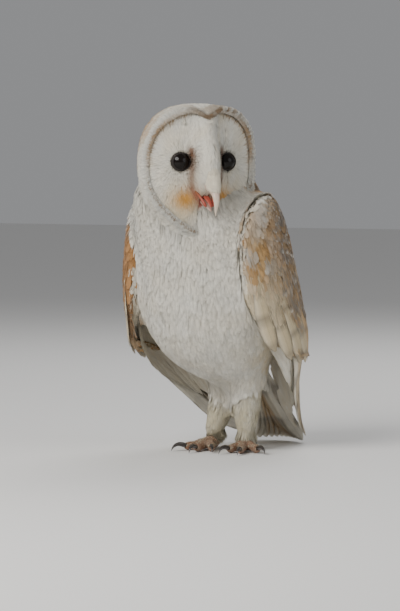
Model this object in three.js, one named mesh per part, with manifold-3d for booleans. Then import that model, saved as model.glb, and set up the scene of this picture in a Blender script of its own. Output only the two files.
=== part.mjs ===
// A barn owl (Tyto alba), life size, standing on the floor with its head turned over its left
// shoulder, its bill a little open and its wings loosely folded.
//
// Millimetres, +Z up. The owl faces -Y and its left is +X. Every solid gives the outer form of
// the plumage, so the feathers fill each shape out to its surface.

import * as THREE from "three";
import { mergeVertices } from "three/addons/utils/BufferGeometryUtils.js";
import Module from "manifold-3d";

const wasm = await Module();
wasm.setup();

// ---- Driving dimensions ----

const SIDES = { left: 1, right: -1 };
const GAP = 0.4; // clearance between touching pieces
const MERGE_DISTANCE = 0.001; // vertices closer than this are one
const HEAD_YAW = 54; // degrees, from straight ahead towards the owl's left
const HEAD_CENTRE = new THREE.Vector3(0.5, -53, 237);

const DISC = {
  halfWidth: 48, // facial disc, centre to rim
  halfHeight: 48,
  browFullness: 2.6, // power of the oval above the eyes, where 2 is a plain oval
  cheekFullness: 2.1, // the same below them
  rimForward: 27, // rim in front of the head's centre, at the crown
  rimSweep: 18, // how far the rim sweeps back at the cheeks
  chinSweep: 7, // how far it sweeps back at the chin
  notchDepth: 7, // dip of the heart between its two lobes
  chinDrop: 7, // extra length of the heart's lower point
  dishDepth: 8, // hollow of each half
  ridgeHeight: 19.5, // feathered ridge between the eyes
  ridgeWidth: 10.5,
};
const SKULL = { sideRadius: 48, crownRadius: 52, backDepth: 37, frontAngle: 25, boxiness: 0.6 };
const EYE = { radius: 9, across: 20, up: 4.5, forward: 13, moundHeight: 3.5, moundRadius: 13 };

const LEG = { across: 17, back: 2 }; // where each ankle stands
const HEEL = { left: { across: 16, back: 6 }, right: { across: 11, back: 17 } };
const TOE_RADIUS = 3.7;
const CLAW = { length: 18, radius: 2.5 };

// ---- Small tools ----

const radians = THREE.MathUtils.degToRad;
const bell = (x, width) => Math.exp(-((x / width) ** 2));
const mix = THREE.MathUtils.lerp;

// Smooth values along 0..1 from rows of [position, value, value, ...].
function stations(rows) {
  const places = rows.map((row) => row[0]);
  const values = rows.flatMap((row) => row.slice(1));
  const curve = new THREE.CubicInterpolant(places, values, rows[0].length - 1);
  return (s) => Array.from(curve.evaluate(s));
}

// A closed skin of SphereGeometry, pole to pole, with each vertex put where place(along, angle) says.
function skin(around, along, place) {
  const geometry = new THREE.SphereGeometry(1, around, along);
  const position = geometry.getAttribute("position");
  for (let row = 0; row <= along; row++) {
    for (let column = 0; column <= around; column++) {
      const atPole = row === 0 || row === along;
      const angle = atPole ? Math.PI / 2 : (2 * Math.PI * (column % around)) / around;
      const point = place(row / along, angle);
      position.setXYZ(row * (around + 1) + column, point.x, point.y, point.z);
    }
  }
  return facingOut(merged(geometry));
}

// Only positions, with shared vertices merged and the triangles that this flattens dropped.
function merged(geometry) {
  const bare = new THREE.BufferGeometry();
  bare.setAttribute("position", geometry.getAttribute("position").clone());
  bare.setIndex(geometry.getIndex() ? geometry.getIndex().clone() : null);
  const whole = mergeVertices(bare, MERGE_DISTANCE);
  const corners = whole.getIndex().array;
  const kept = [];
  for (let i = 0; i < corners.length; i += 3) {
    const [a, b, c] = corners.slice(i, i + 3);
    if (a !== b && b !== c && c !== a) kept.push(a, b, c);
  }
  whole.setIndex(kept);
  return whole;
}

function facingOut(geometry) {
  const made = solidOf(geometry);
  if (made.volume() < 0) geometry.setIndex(Array.from(geometry.getIndex().array).reverse());
  return geometry;
}

function solidOf(geometry) {
  const mesh = new wasm.Mesh({
    numProp: 3,
    vertProperties: new Float32Array(geometry.getAttribute("position").array),
    triVerts: new Uint32Array(geometry.getIndex().array),
  });
  return new wasm.Manifold(mesh);
}

// The largest body of a solid, as a geometry.
function geometryOf(solid) {
  const bodies = solid.decompose().sort((a, b) => b.volume() - a.volume());
  const mesh = bodies[0].getMesh();
  const geometry = new THREE.BufferGeometry();
  geometry.setAttribute("position", new THREE.BufferAttribute(new Float32Array(mesh.vertProperties), 3));
  geometry.setIndex(new THREE.BufferAttribute(new Uint32Array(mesh.triVerts), 1));
  return merged(geometry);
}

// The shape with its surface moved out by a distance.
function grown(geometry, distance) {
  const wide = merged(geometry);
  wide.computeVertexNormals();
  const position = wide.getAttribute("position");
  const normal = wide.getAttribute("normal");
  for (let i = 0; i < position.count; i++) {
    position.setXYZ(
      i,
      position.getX(i) + distance * normal.getX(i),
      position.getY(i) + distance * normal.getY(i),
      position.getZ(i) + distance * normal.getZ(i),
    );
  }
  wide.deleteAttribute("normal");
  return wide;
}

// A shape less its neighbours, with GAP left to each.
function clearOf(geometry, ...neighbours) {
  const rest = neighbours.reduce(
    (solid, other) => solid.subtract(solidOf(grown(other, GAP))).subtract(solidOf(other)),
    solidOf(geometry),
  );
  return geometryOf(rest);
}

function joined(geometries) {
  return geometryOf(geometries.map(solidOf).reduce((a, b) => a.add(b)));
}

function moved(geometry, matrix) {
  return geometry.clone().applyMatrix4(matrix);
}

// A tube of oval section along a curve, with rounded ends. shape(s) gives [half width, half height].
function limb(curve, around, along, shape, acrossDirection, floor = -Infinity) {
  return skin(around, along, (v, angle) => {
    const s = (1 - Math.cos(Math.PI * v)) / 2;
    const tangent = curve.getTangent(s);
    const across = acrossDirection.clone();
    across.addScaledVector(tangent, -across.dot(tangent)).normalize();
    const over = new THREE.Vector3().crossVectors(across, tangent);
    const end = Math.sqrt(Math.max(0, 1 - Math.abs(2 * s - 1) ** 8));
    const [width, height] = shape(s);
    const point = curve.getPoint(s);
    point.addScaledVector(across, end * width * Math.cos(angle));
    point.addScaledVector(over, end * height * Math.sin(angle));
    point.z = Math.max(point.z, floor);
    return point;
  });
}

// ---- Trunk and neck: one torso, parted by a thin cut ----

const TORSO = stations([
  // s, centre x, y, z, half width, half depth, turn of the section in degrees
  [0.0, -11, -46, 262, 38, 21, 54],
  [0.16, -10, -43, 230, 50, 27, 54],
  [0.3, -8, -36, 202, 55, 38, 38],
  [0.44, -3, -30, 174, 59, 47, 14],
  [0.6, -2, -21, 142, 65, 52, 0],
  [0.76, -2, -10, 110, 63, 50, 0],
  [0.9, 0, 10, 80, 44, 36, 0],
  [1.0, 0, 36, 61, 16, 15, 0],
]);
const NECK_BASE = 198; // height of the cut between neck and trunk

function torso() {
  return skin(23, 16, (v, angle) => {
    const s = mix(v, (1 - Math.cos(Math.PI * v)) / 2, 0.6);
    const [x, y, z, halfWidth, halfDepth, turn] = TORSO(s);
    const step = 0.01;
    const ahead = TORSO(Math.min(1, s + step));
    const behind = TORSO(Math.max(0, s - step));
    const tangent = new THREE.Vector3(...ahead).sub(new THREE.Vector3(...behind)).normalize();
    const across = new THREE.Vector3(Math.cos(radians(turn)), Math.sin(radians(turn)), 0);
    across.addScaledVector(tangent, -across.dot(tangent)).normalize();
    const depth = new THREE.Vector3().crossVectors(tangent, across);
    const end = Math.sqrt(Math.max(0, 1 - Math.abs(2 * s - 1) ** 7));
    return new THREE.Vector3(x, y, z)
      .addScaledVector(across, end * halfWidth * Math.cos(angle))
      .addScaledVector(depth, end * halfDepth * Math.sin(angle));
  });
}

function slab(low, high) {
  const size = 400;
  const box = new THREE.BoxGeometry(size, size, high - low);
  box.translate(0, 0, (low + high) / 2);
  return merged(box);
}

// ---- Head: the facial disc is the front pole, the nape the back pole ----

// Distance from the middle of an oval to its edge. Angle 0 is the owl's left, a quarter turn is up.
function ovalRadius(angle, halfWidth, halfHeight) {
  const power = Math.sin(angle) > 0 ? DISC.browFullness : DISC.cheekFullness;
  const across = Math.abs(Math.cos(angle) / halfWidth) ** power;
  const over = Math.abs(Math.sin(angle) / halfHeight) ** power;
  return (across + over) ** (-1 / power);
}

// Distance from the disc's centre to its rim.
function heartRadius(angle) {
  const fromTop = Math.atan2(Math.cos(angle), Math.sin(angle));
  const fromChin = Math.atan2(Math.cos(angle), -Math.sin(angle));
  const notch = DISC.notchDepth * bell(fromTop, radians(11));
  const chin = DISC.chinDrop * bell(fromChin, radians(24));
  return ovalRadius(angle, DISC.halfWidth, DISC.halfHeight) - notch + chin;
}

// Distance from the head's centre to its widest outline behind the rim, which has no notch.
function skullRadius(angle) {
  return ovalRadius(angle, SKULL.sideRadius, SKULL.crownRadius);
}

// How far the rim lies behind its crown, from a place's shares of the rim's distance.
function rimBack(acrossShare, upShare) {
  return DISC.rimSweep * acrossShare ** 2 + DISC.chinSweep * Math.min(0, upShare) ** 2;
}

// The rim's distance in front of the head's centre.
function rimForward(angle) {
  return DISC.rimForward - rimBack(Math.cos(angle), Math.sin(angle));
}

const RIDGE = stations([
  // height in the face from chin 0 to crown 1, share of the ridge's height
  [0.0, 0.0],
  [0.22, 0.05],
  [0.32, 0.5],
  [0.41, 0.93],
  [0.55, 1.0],
  [0.75, 0.66],
  [0.9, 0.28],
  [1.0, 0.0],
]);

// How far the face stands in front of the head's centre.
function faceForward(x, z) {
  const rim = heartRadius(Math.atan2(z, x));
  const share = Math.min(1, Math.hypot(x, z) / rim);
  const dish = DISC.dishDepth * Math.sqrt(Math.max(0, 1 - share ** 4));
  const height = THREE.MathUtils.clamp((z / DISC.halfHeight + 1) / 2, 0, 1);
  const ridge = DISC.ridgeHeight * RIDGE(height)[0] * Math.exp(-((Math.abs(x) / DISC.ridgeWidth) ** 2.4));
  const toEye = Math.hypot(Math.abs(x) - EYE.across, z - EYE.up);
  const mound = EYE.moundHeight * bell(toEye, EYE.moundRadius);
  return DISC.rimForward - rimBack(x / rim, z / rim) - dish + ridge + mound;
}

const FACE_SHARE = 0.56; // part of the head's rings that lie on the face

function wholeHead() {
  return skin(28, 19, (v, angle) => {
    const rim = heartRadius(angle);
    if (v <= FACE_SHARE) {
      const share = v / FACE_SHARE;
      const x = share * rim * Math.cos(angle);
      const z = share * rim * Math.sin(angle);
      return new THREE.Vector3(x, -faceForward(x, z), z);
    }
    const share = (v - FACE_SHARE) / (1 - FACE_SHARE);
    const sweep = radians(mix(-SKULL.frontAngle, 90, share));
    const full = Math.cos(radians(SKULL.frontAngle)) ** SKULL.boxiness;
    const reach = Math.cos(sweep) ** SKULL.boxiness;
    const edge = mix(rim / full, skullRadius(angle), THREE.MathUtils.smoothstep(share, 0, 0.18));
    const forward =
      sweep < 0
        ? (rimForward(angle) * Math.sin(-sweep)) / Math.sin(radians(SKULL.frontAngle))
        : -SKULL.backDepth * Math.sin(sweep);
    const radius = share === 1 ? 0 : edge * reach;
    return new THREE.Vector3(radius * Math.cos(angle), -forward, radius * Math.sin(angle));
  });
}

// Bill and tongue by points [forward, up] in the head's plane of symmetry.
const BILL = {
  upper: { width: 5.0, height: 5.6, points: [[24, -14], [36, -18], [41.5, -27], [39.5, -39.5]] },
  lower: { width: 4.6, height: 2.6, points: [[17, -27], [26.5, -32.5], [33.5, -39]] },
  tongue: { width: 3.0, height: 1.5, points: [[19, -23], [27, -27.5], [31.5, -32.5]] },
};

function billPart({ width, height, points }) {
  const curve = new THREE.CatmullRomCurve3(points.map(([forward, z]) => new THREE.Vector3(0, -forward, z)));
  const taper = (s) => mix(1, 0.16, s ** 1.5);
  return limb(curve, 10, 8, (s) => [width * taper(s), height * taper(s)], new THREE.Vector3(1, 0, 0));
}

// ---- Wings: a cover of arm, coverts and secondaries over a fan of primaries ----

// The wing wraps the body. Its section is an arc of an oval round the body's plane of symmetry,
// from a back angle to a front angle, both in degrees from the middle of the back.
const WING = stations([
  // s, centre x, y, z, half width, half depth, front angle, back angle, thickness out, thickness in
  [0.0, -3, -26, 222, 53, 38, 88, 52, 2, 6],
  [0.12, -3, -30, 201, 61, 50, 118, 30, 4, 12],
  [0.3, -3, -26, 165, 69, 57, 129, 13, 4, 14],
  [0.48, -3, -17, 124, 74, 59, 128, 7, 4, 14],
  [0.64, -2, -2, 86, 75, 56, 121, 8, 3, 11],
  [0.8, -1, 28, 47, 56, 39, 112, 16, 2.5, 7],
  [0.92, 0, 60, 20, 41, 20, 103, 32, 2, 4],
  [1.0, 0, 95, 6, 27, 7, 90, 60, 1.5, 2],
]);
const COVER_END = { front: 0.61, back: 0.84, corner: 0.05 }; // where the coverts and secondaries end
const WING_SPREAD = { left: -0.07, right: 0.02 }; // the right wing hangs a little away from the body

// A point of the wing: across runs from -1 at the back edge to 1 at the front edge, and out is the
// distance from the wing's middle surface.
function wingPoint(side, s, across, out) {
  const [x, y, z, a, b, front, back] = WING(s);
  const step = 0.01;
  const ahead = WING(Math.min(1, s + step));
  const behind = WING(Math.max(0, s - step));
  const along = new THREE.Vector2(ahead[1] - behind[1], ahead[2] - behind[2]).normalize();
  const angle = radians(mix(back, front, (across + 1) / 2));
  const width = a * (1 + WING_SPREAD[side] * s);
  const normal = new THREE.Vector2(Math.sin(angle) / width, Math.cos(angle) / b).normalize();
  const sideways = width * Math.sin(angle) + out * normal.x;
  const dorsal = b * Math.cos(angle) + out * normal.y;
  return new THREE.Vector3(x + SIDES[side] * sideways, y - along.y * dorsal, z + along.x * dorsal);
}

function coverEnd(across) {
  const corner = COVER_END.corner * THREE.MathUtils.smoothstep(across, 0.5, 1);
  return mix(COVER_END.front, COVER_END.back, (1 - across) / 2) - corner;
}

function wingCover(side) {
  const rows = 14;
  return skin(16, rows, (v, angle) => {
    const across = Math.cos(angle);
    const share = Math.min(1, (v * rows) / (rows - 1));
    const s = share * coverEnd(across);
    const shoulder = Math.sqrt(1 - (1 - Math.min(1, share / 0.24)) ** 2);
    const corner = 1 - 0.12 * THREE.MathUtils.smoothstep(share, 0.75, 1);
    const [, , , , , , , outward, inward] = WING(s);
    const thin = mix(1, 0.3, THREE.MathUtils.smoothstep(share, 0.5, 1));
    const thickness = Math.sin(angle) > 0 ? outward : -inward * thin;
    const edge = Math.sqrt(Math.abs(Math.sin(angle)));
    return wingPoint(side, s, across * shoulder * corner, v === 1 ? 0 : thickness * edge * shoulder);
  });
}

// One long feather lying in the wing's surface, from a root to a tip given as [s, across, out].
function wingFeather(side, root, tip, halfAcross, halfThickness) {
  return skin(6, 6, (v, angle) => {
    const share = mix(v, (1 - Math.cos(Math.PI * v)) / 2, 0.7);
    const narrow = Math.sqrt(Math.max(0, 1 - Math.abs(2 * share - 1) ** 5));
    const s = mix(root[0], tip[0], share);
    const across = mix(root[1], tip[1], share) + halfAcross * narrow * Math.cos(angle);
    const out = mix(root[2], tip[2], share) + halfThickness * narrow * Math.sin(angle);
    const point = wingPoint(side, s, across, out);
    point.z = Math.max(point.z, 1);
    return point;
  });
}

const PRIMARIES = 5;

function primaries(side) {
  const feathers = [];
  for (let i = 0; i < PRIMARIES; i++) {
    const inner = i / (PRIMARIES - 1);
    const tip = [mix(1.0, 0.9, inner), mix(0.35, -0.65, inner), 0];
    const across = mix(0.36, -0.5, inner);
    const root = [coverEnd(across) - 0.07, across, -1];
    feathers.push(wingFeather(side, root, tip, 0.27, 1.6));
  }
  return joined(feathers);
}

// ---- Tail: feathers folded to a narrow fan, two to each blade ----

const TAIL = { blades: 6, root: [42, 68], middle: [72, 29], tip: [101, 3], spread: 9, halfWidth: 10 };

function tailBlade(index) {
  const offset = index - (TAIL.blades - 1) / 2;
  const lift = -1.1 * Math.abs(offset);
  const tipBack = TAIL.tip[0] - 1.6 * offset ** 2;
  const curve = new THREE.CatmullRomCurve3([
    new THREE.Vector3(2.2 * offset, TAIL.root[0] - 12, TAIL.root[1] + 12 + lift),
    new THREE.Vector3(2.8 * offset, TAIL.root[0], TAIL.root[1] + lift),
    new THREE.Vector3(0.65 * TAIL.spread * offset, TAIL.middle[0], TAIL.middle[1] + lift),
    new THREE.Vector3(TAIL.spread * offset, tipBack, TAIL.tip[1] + 0.3 * lift),
  ]);
  return limb(curve, 6, 6, () => [TAIL.halfWidth, 1.5], new THREE.Vector3(1, 0, 0), 0);
}

function tail() {
  return joined(Array.from({ length: TAIL.blades }, (_, index) => tailBlade(index)));
}

// ---- Legs and feet ----

function leg(side) {
  const x = SIDES[side];
  const curve = new THREE.CatmullRomCurve3([
    new THREE.Vector3(22 * x, -6, 108),
    new THREE.Vector3((HEEL[side].across + 4) * x, HEEL[side].back - 2, 78),
    new THREE.Vector3(HEEL[side].across * x, HEEL[side].back, 48),
    new THREE.Vector3(LEG.across * x, LEG.back, 9),
  ]);
  const size = stations([
    [0.0, 19, 22],
    [0.35, 15, 17],
    [0.65, 12, 12.5],
    [1.0, 9, 9.5],
  ]);
  return limb(curve, 11, 8, size, new THREE.Vector3(1, 0, 0));
}

// Toes by their turn from the foot's own front towards its outside, and their length.
const TOES = [
  { name: "hind", turn: 172, length: 18 },
  { name: "inner", turn: -26, length: 26 },
  { name: "middle", turn: 0, length: 31 },
  { name: "outer", turn: 33, length: 26 },
];
const FOOT_TURN = { left: 20, right: -6 }; // from straight ahead towards the foot's outside

function footPad() {
  const pad = new THREE.SphereGeometry(1, 9, 5);
  pad.scale(8, 8.5, 6);
  pad.translate(0, 0, 6);
  const position = pad.getAttribute("position");
  for (let i = 0; i < position.count; i++) position.setZ(i, Math.max(position.getZ(i), 1.2));
  return facingOut(merged(pad));
}

// A toe along +X, with a pad under each joint and its sole on the floor.
function toe(length) {
  const curve = new THREE.CatmullRomCurve3([
    new THREE.Vector3(3, 0, 7),
    new THREE.Vector3(0.45 * length, 0, 5.4),
    new THREE.Vector3(0.75 * length, 0, 4.2),
    new THREE.Vector3(length, 0, 4.4),
  ]);
  const girth = (s) => TOE_RADIUS * (1 + 0.1 * Math.cos(6 * Math.PI * s)) * mix(1.1, 0.92, s);
  return limb(curve, 7, 6, (s) => [girth(s), girth(s) * 1.08], new THREE.Vector3(0, 1, 0), 0);
}

// A hooked claw along +X, from the toe's end down to just above the floor.
function claw(length) {
  const curve = new THREE.CatmullRomCurve3([
    new THREE.Vector3(length - 3.5, 0, 4.6),
    new THREE.Vector3(length + 0.28 * CLAW.length, 0, 6.4),
    new THREE.Vector3(length + 0.58 * CLAW.length, 0, 4.6),
    new THREE.Vector3(length + 0.72 * CLAW.length, 0, 0.9),
  ]);
  const taper = (s) => CLAW.radius * mix(1, 0.14, s ** 1.4);
  return limb(curve, 6, 6, (s) => [0.85 * taper(s), taper(s)], new THREE.Vector3(0, 1, 0), 0.3);
}

// ---- Materials ----

const finish = (name, color, roughness) => new THREE.MeshStandardMaterial({ name, color, roughness });
const WHITE = finish("white_plumage", 0xf1eee2, 0.85);
const GOLD = finish("golden_plumage", 0xc79a55, 0.85);
const LEG_DOWN = finish("leg_plumage", 0xede4c4, 0.85);
const FACE = finish("face_plumage", 0xf3f0e4, 0.85);
const TOE_SKIN = finish("toe_skin", 0x8f7868, 0.6);
const CLAW_HORN = finish("claw_horn", 0x1d1a19, 0.3);
const BILL_HORN = finish("bill_horn", 0xd9c4b2, 0.4);
const MOUTH_SKIN = finish("mouth_skin", 0xc24a3c, 0.35);
const EYE_BLACK = finish("eye", 0x0b0807, 0.05);

function named(name, geometry, material) {
  const mesh = new THREE.Mesh(geometry, material);
  mesh.name = name;
  return mesh;
}

// ---- Assembly ----

const owl = new THREE.Group();

const headGroup = new THREE.Group();
headGroup.position.copy(HEAD_CENTRE);
headGroup.rotation.z = radians(HEAD_YAW);
headGroup.updateMatrix();

const eyeball = merged(new THREE.SphereGeometry(EYE.radius, 12, 9));
const eyePlace = (side) => new THREE.Vector3(SIDES[side] * EYE.across, -EYE.forward, EYE.up);
const eyeIn = (side) => moved(eyeball, new THREE.Matrix4().setPosition(eyePlace(side)));

const billUpper = billPart(BILL.upper);
const billLower = clearOf(billPart(BILL.lower), billUpper);
const tongue = clearOf(billPart(BILL.tongue), billUpper, billLower);
const fullHead = wholeHead();
const head = clearOf(fullHead, eyeIn("left"), eyeIn("right"), billUpper, billLower, tongue);
headGroup.add(named("head", head, FACE));
headGroup.add(named("bill_upper", billUpper, BILL_HORN));
headGroup.add(named("bill_lower", billLower, BILL_HORN));
headGroup.add(named("tongue", tongue, MOUTH_SKIN));
for (const side of Object.keys(SIDES)) {
  const eye = named(`eye_${side}`, eyeball, EYE_BLACK);
  eye.position.copy(eyePlace(side));
  headGroup.add(eye);
}
owl.add(headGroup);

const wholeTorso = torso();
const body = solidOf(wholeTorso);
const trunk = geometryOf(body.intersect(solidOf(slab(0, NECK_BASE - GAP))));
const neckBlank = geometryOf(body.intersect(solidOf(slab(NECK_BASE, 400))));
const headInPlace = moved(fullHead, headGroup.matrix);
const billInPlace = [billUpper, billLower, tongue].map((piece) => moved(piece, headGroup.matrix));
owl.add(named("trunk", clearOf(trunk, headInPlace, ...billInPlace), WHITE));
owl.add(named("neck", clearOf(neckBlank, headInPlace, ...billInPlace), WHITE));

const wingParts = [];
for (const side of Object.keys(SIDES)) {
  const wholeCover = wingCover(side);
  const cover = clearOf(wholeCover, wholeTorso, headInPlace);
  const fan = clearOf(primaries(side), wholeTorso, wholeCover);
  wingParts.push(wholeCover, fan);
  owl.add(named(`wing_${side}`, cover, GOLD));
  owl.add(named(`primaries_${side}`, fan, GOLD));
}

owl.add(named("tail", clearOf(tail(), wholeTorso, ...wingParts), GOLD));

for (const side of Object.keys(SIDES)) {
  const place = new THREE.Group();
  place.position.set(SIDES[side] * LEG.across, LEG.back, 0);
  place.updateMatrix();
  const turned = TOES.map(({ turn }) => {
    const whole = SIDES[side] * (turn + FOOT_TURN[side]) - 90;
    return new THREE.Matrix4().makeRotationZ(radians(whole));
  });
  const claws = TOES.map(({ length }, index) => moved(claw(length), turned[index]));
  const toes = TOES.map(({ length }, index) => moved(toe(length), turned[index]));
  const foot = clearOf(joined([footPad(), ...toes]), ...claws);
  TOES.forEach(({ name }, index) => place.add(named(`claw_${side}_${name}`, claws[index], CLAW_HORN)));
  place.add(named(`foot_${side}`, foot, TOE_SKIN));
  owl.add(place);
  const shank = clearOf(leg(side), wholeTorso, moved(foot, place.matrix), ...wingParts);
  owl.add(named(`leg_${side}`, shank, LEG_DOWN));
}

// The origin is on the floor, under the middle of the owl's outline.
owl.updateMatrixWorld(true);
const bounds = new THREE.Box3().setFromObject(owl, true);
const centre = bounds.getCenter(new THREE.Vector3());
owl.position.set(-centre.x, -centre.y, -bounds.min.z);

// The exported group keeps that shift inside it, so that its own frame is the part's frame.
const part = new THREE.Group();
part.add(owl);

export default part;
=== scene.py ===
"""A barn owl, life size: one skin under a coat of solid vanes, with its eyes, bill, mouth and claws."""

import math

import bmesh
import bpy
import numpy as np
from mathutils import Matrix, Vector
from mathutils.bvhtree import BVHTree


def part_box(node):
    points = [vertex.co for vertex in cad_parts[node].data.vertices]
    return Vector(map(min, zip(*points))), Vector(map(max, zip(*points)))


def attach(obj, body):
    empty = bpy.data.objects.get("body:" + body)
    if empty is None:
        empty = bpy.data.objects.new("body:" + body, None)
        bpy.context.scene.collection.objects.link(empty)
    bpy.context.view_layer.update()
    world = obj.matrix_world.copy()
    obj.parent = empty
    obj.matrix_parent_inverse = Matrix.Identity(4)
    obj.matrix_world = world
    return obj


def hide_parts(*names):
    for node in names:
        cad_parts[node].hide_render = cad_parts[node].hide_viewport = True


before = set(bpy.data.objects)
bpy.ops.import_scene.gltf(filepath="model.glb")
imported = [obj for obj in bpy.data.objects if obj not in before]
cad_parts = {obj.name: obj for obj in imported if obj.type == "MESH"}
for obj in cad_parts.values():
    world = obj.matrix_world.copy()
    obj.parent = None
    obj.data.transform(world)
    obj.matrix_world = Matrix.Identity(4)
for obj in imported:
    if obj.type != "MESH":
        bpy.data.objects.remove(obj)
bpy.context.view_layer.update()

rng = np.random.default_rng(11)

MM = 0.001
SIDES = {"left": 1.0, "right": -1.0}
UP = np.array([0.0, 0.0, 1.0])

# ---- Small tools. Lengths are millimetres until a mesh is made ----


def unit(v):
    v = np.asarray(v, float)
    return v / np.maximum(np.linalg.norm(v, axis=-1, keepdims=True), 1e-9)


def mix(a, b, t):
    return a + (b - a) * t


def ramp(x, low, high):
    t = np.clip((np.asarray(x, float) - low) / (high - low), 0.0, 1.0)
    return t * t * (3.0 - 2.0 * t)


def bell(x, width):
    return np.exp(-((np.asarray(x, float) / width) ** 2))


def dot(a, b):
    return np.sum(a * b, axis=-1, keepdims=True)


def tangent(v, n):
    return unit(v - n * dot(v, n))


def wobble(p, size, seed):
    """Smooth noise in -1..1 over points, with patches about size across."""
    local = np.random.default_rng(seed)
    total = np.zeros(len(p))
    for _ in range(9):
        direction = unit(local.normal(size=3))
        pitch = size * local.uniform(0.6, 1.5)
        total += np.sin(p @ direction * (2 * math.pi / pitch) + local.uniform(0, 6.28))
    return total / 3.6


def curve_through(points, places):
    """Points of a smooth curve through the given ones, at each place 0..1."""
    points = np.asarray(points, float)
    count = len(points) - 1
    padded = np.vstack([2 * points[0] - points[1], points, 2 * points[-1] - points[-2]])
    x = np.clip(np.asarray(places, float), 0, 1) * count
    i = np.minimum(x.astype(int), count - 1)
    t = (x - i)[:, None]
    a, b, c, d = padded[i], padded[i + 1], padded[i + 2], padded[i + 3]
    return 0.5 * (2 * b + (c - a) * t + (2 * a - 5 * b + 4 * c - d) * t**2 + (3 * b - a - 3 * c + d) * t**3)


def stations(rows):
    """Smooth values along 0..1 from rows of (place, value, ...)."""
    rows = np.asarray(rows, float)
    places, values = rows[:, 0], rows[:, 1:]
    slopes = np.gradient(values, places, axis=0)

    def at(s):
        s = np.clip(np.asarray(s, float), 0, 1)
        i = np.clip(np.searchsorted(places, s, side="right") - 1, 0, len(places) - 2)
        h = (places[i + 1] - places[i])[..., None]
        t = (s - places[i])[..., None] / h
        return (
            (2 * t**3 - 3 * t**2 + 1) * values[i]
            + (t**3 - 2 * t**2 + t) * h * slopes[i]
            + (3 * t**2 - 2 * t**3) * values[i + 1]
            + (t**3 - t**2) * h * slopes[i + 1]
        )

    return at


def wall(rows, around, closed=False):
    """Quads over rings of vertices, each ring joined to the next, and the last to the first if closed."""
    r, k = np.divmod(np.arange((rows if closed else rows - 1) * around), around)
    a, b = r * around + k, r * around + (k + 1) % around
    return np.stack([a, b, (b + around) % (rows * around), (a + around) % (rows * around)], 1)


def triangulated(faces):
    """Fans of triangles over polygons."""
    return np.array([(f[0], f[k], f[k + 1]) for f in faces for k in range(1, len(f) - 1)])


def joined(parts):
    """Parts, each of (vertices, triangles, more rows for each vertex), as one."""
    verts, tris, *rest = zip(*parts)
    starts = np.cumsum([0] + [len(v) for v in verts])
    tris = [t + start for t, start in zip(tris, starts)]
    return [np.vstack(rows) for rows in (verts, tris, *rest)]


def facing_out(verts, tris):
    """The triangles turned to face out of the closed form they make."""
    a, b, c = (verts[tris[:, k]] - verts.mean(0) for k in range(3))
    return tris if np.einsum("ij,ij->", a, np.cross(b, c)) > 0 else tris[:, ::-1]


def tree_of(verts, tris):
    return BVHTree.FromPolygons(verts.tolist(), tris.tolist())


def mesh_arrays(mesh):
    """The vertices, in millimetres, and triangles of a mesh."""
    verts, tris = np.empty(len(mesh.vertices) * 3), np.empty(len(mesh.polygons) * 3, np.int32)
    mesh.vertices.foreach_get("co", verts)
    mesh.polygons.foreach_get("vertices", tris)
    return verts.reshape(-1, 3) / MM, tris.reshape(-1, 3)


def show(obj):
    bpy.context.scene.collection.objects.link(obj)
    return obj


def mesh_object(name, verts, faces):
    """A smooth mesh object, in the scene, from arrays."""
    mesh = bpy.data.meshes.new(name)
    mesh.from_pydata((verts * MM).tolist(), [], faces.tolist())
    mesh.validate()
    mesh.polygons.foreach_set("use_smooth", np.ones(len(mesh.polygons), bool))
    return show(bpy.data.objects.new(name, mesh))


def dress(obj, look, slot, *replaced):
    """A piece's material and body, and the CAD nodes that it stands for, which are hidden. The slot is not
    used.
    """
    obj.data.materials.append(look)
    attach(obj, "root")
    if replaced:
        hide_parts(*replaced)


def piece(name, verts, tris, tint, look, slot, *replaced, **maps):
    """A dressed mesh with a tint and map places for each vertex. Its first map is the active one."""
    obj = mesh_object(name, verts, tris)
    mesh = obj.data
    rgba = np.ones((len(verts), 4), np.float32)
    rgba[:, :3] = np.clip(tint, 0, 1)
    mesh.color_attributes.new("tint", "FLOAT_COLOR", "POINT").data.foreach_set("color", rgba.ravel())
    loops = np.empty(len(mesh.loops), np.int32)
    mesh.loops.foreach_get("vertex_index", loops)
    for map_name, places in maps.items():
        layer = mesh.uv_layers.new(name=map_name)
        layer.data.foreach_set("uv", places.astype(np.float32)[loops].ravel())
    if maps:
        mesh.uv_layers.active = mesh.uv_layers[next(iter(maps))]
    dress(obj, look, slot, *replaced)
    return obj


# ---- The owl's own frames: the head from its eyes, the body from the head ----

HEAD_CENTRE_IN_PART = np.array([0.5, -53.0, 237.0])
DISC_HALF = 48.0  # facial disc, centre to rim, both across and up
RIM_FORWARD, RIM_SWEEP, CHIN_SWEEP = 27.0, 18.0, 7.0
NOTCH_DEPTH, NOTCH_ANGLE, CHIN_DROP, CHIN_ANGLE = 7, math.radians(11), 7, math.radians(24)
BROW_POWER, CHEEK_POWER = 2.6, 2.1  # of the rim's oval above and below its middle
DISH_DEPTH, RIDGE_HEIGHT, RIDGE_WIDTH, MOUND_HEIGHT, MOUND_RADIUS = 8, 19.5, 10.5, 3.5, 13
EYE_RADIUS, EYE_ACROSS, EYE_UP, EYE_FORWARD = 9.0, 20.0, 4.5, 13.0
EYE_SPLAY = 0.14
LEG_ACROSS, LEG_BACK = 17.0, 2.0
BODY_AXIS = ([60, 110, 142, 174, 230], [36, -10, -21, -30, -40])  # heights, and how far back it is there
WING_SPREAD = {"left": -0.07, "right": 0.02}

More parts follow.
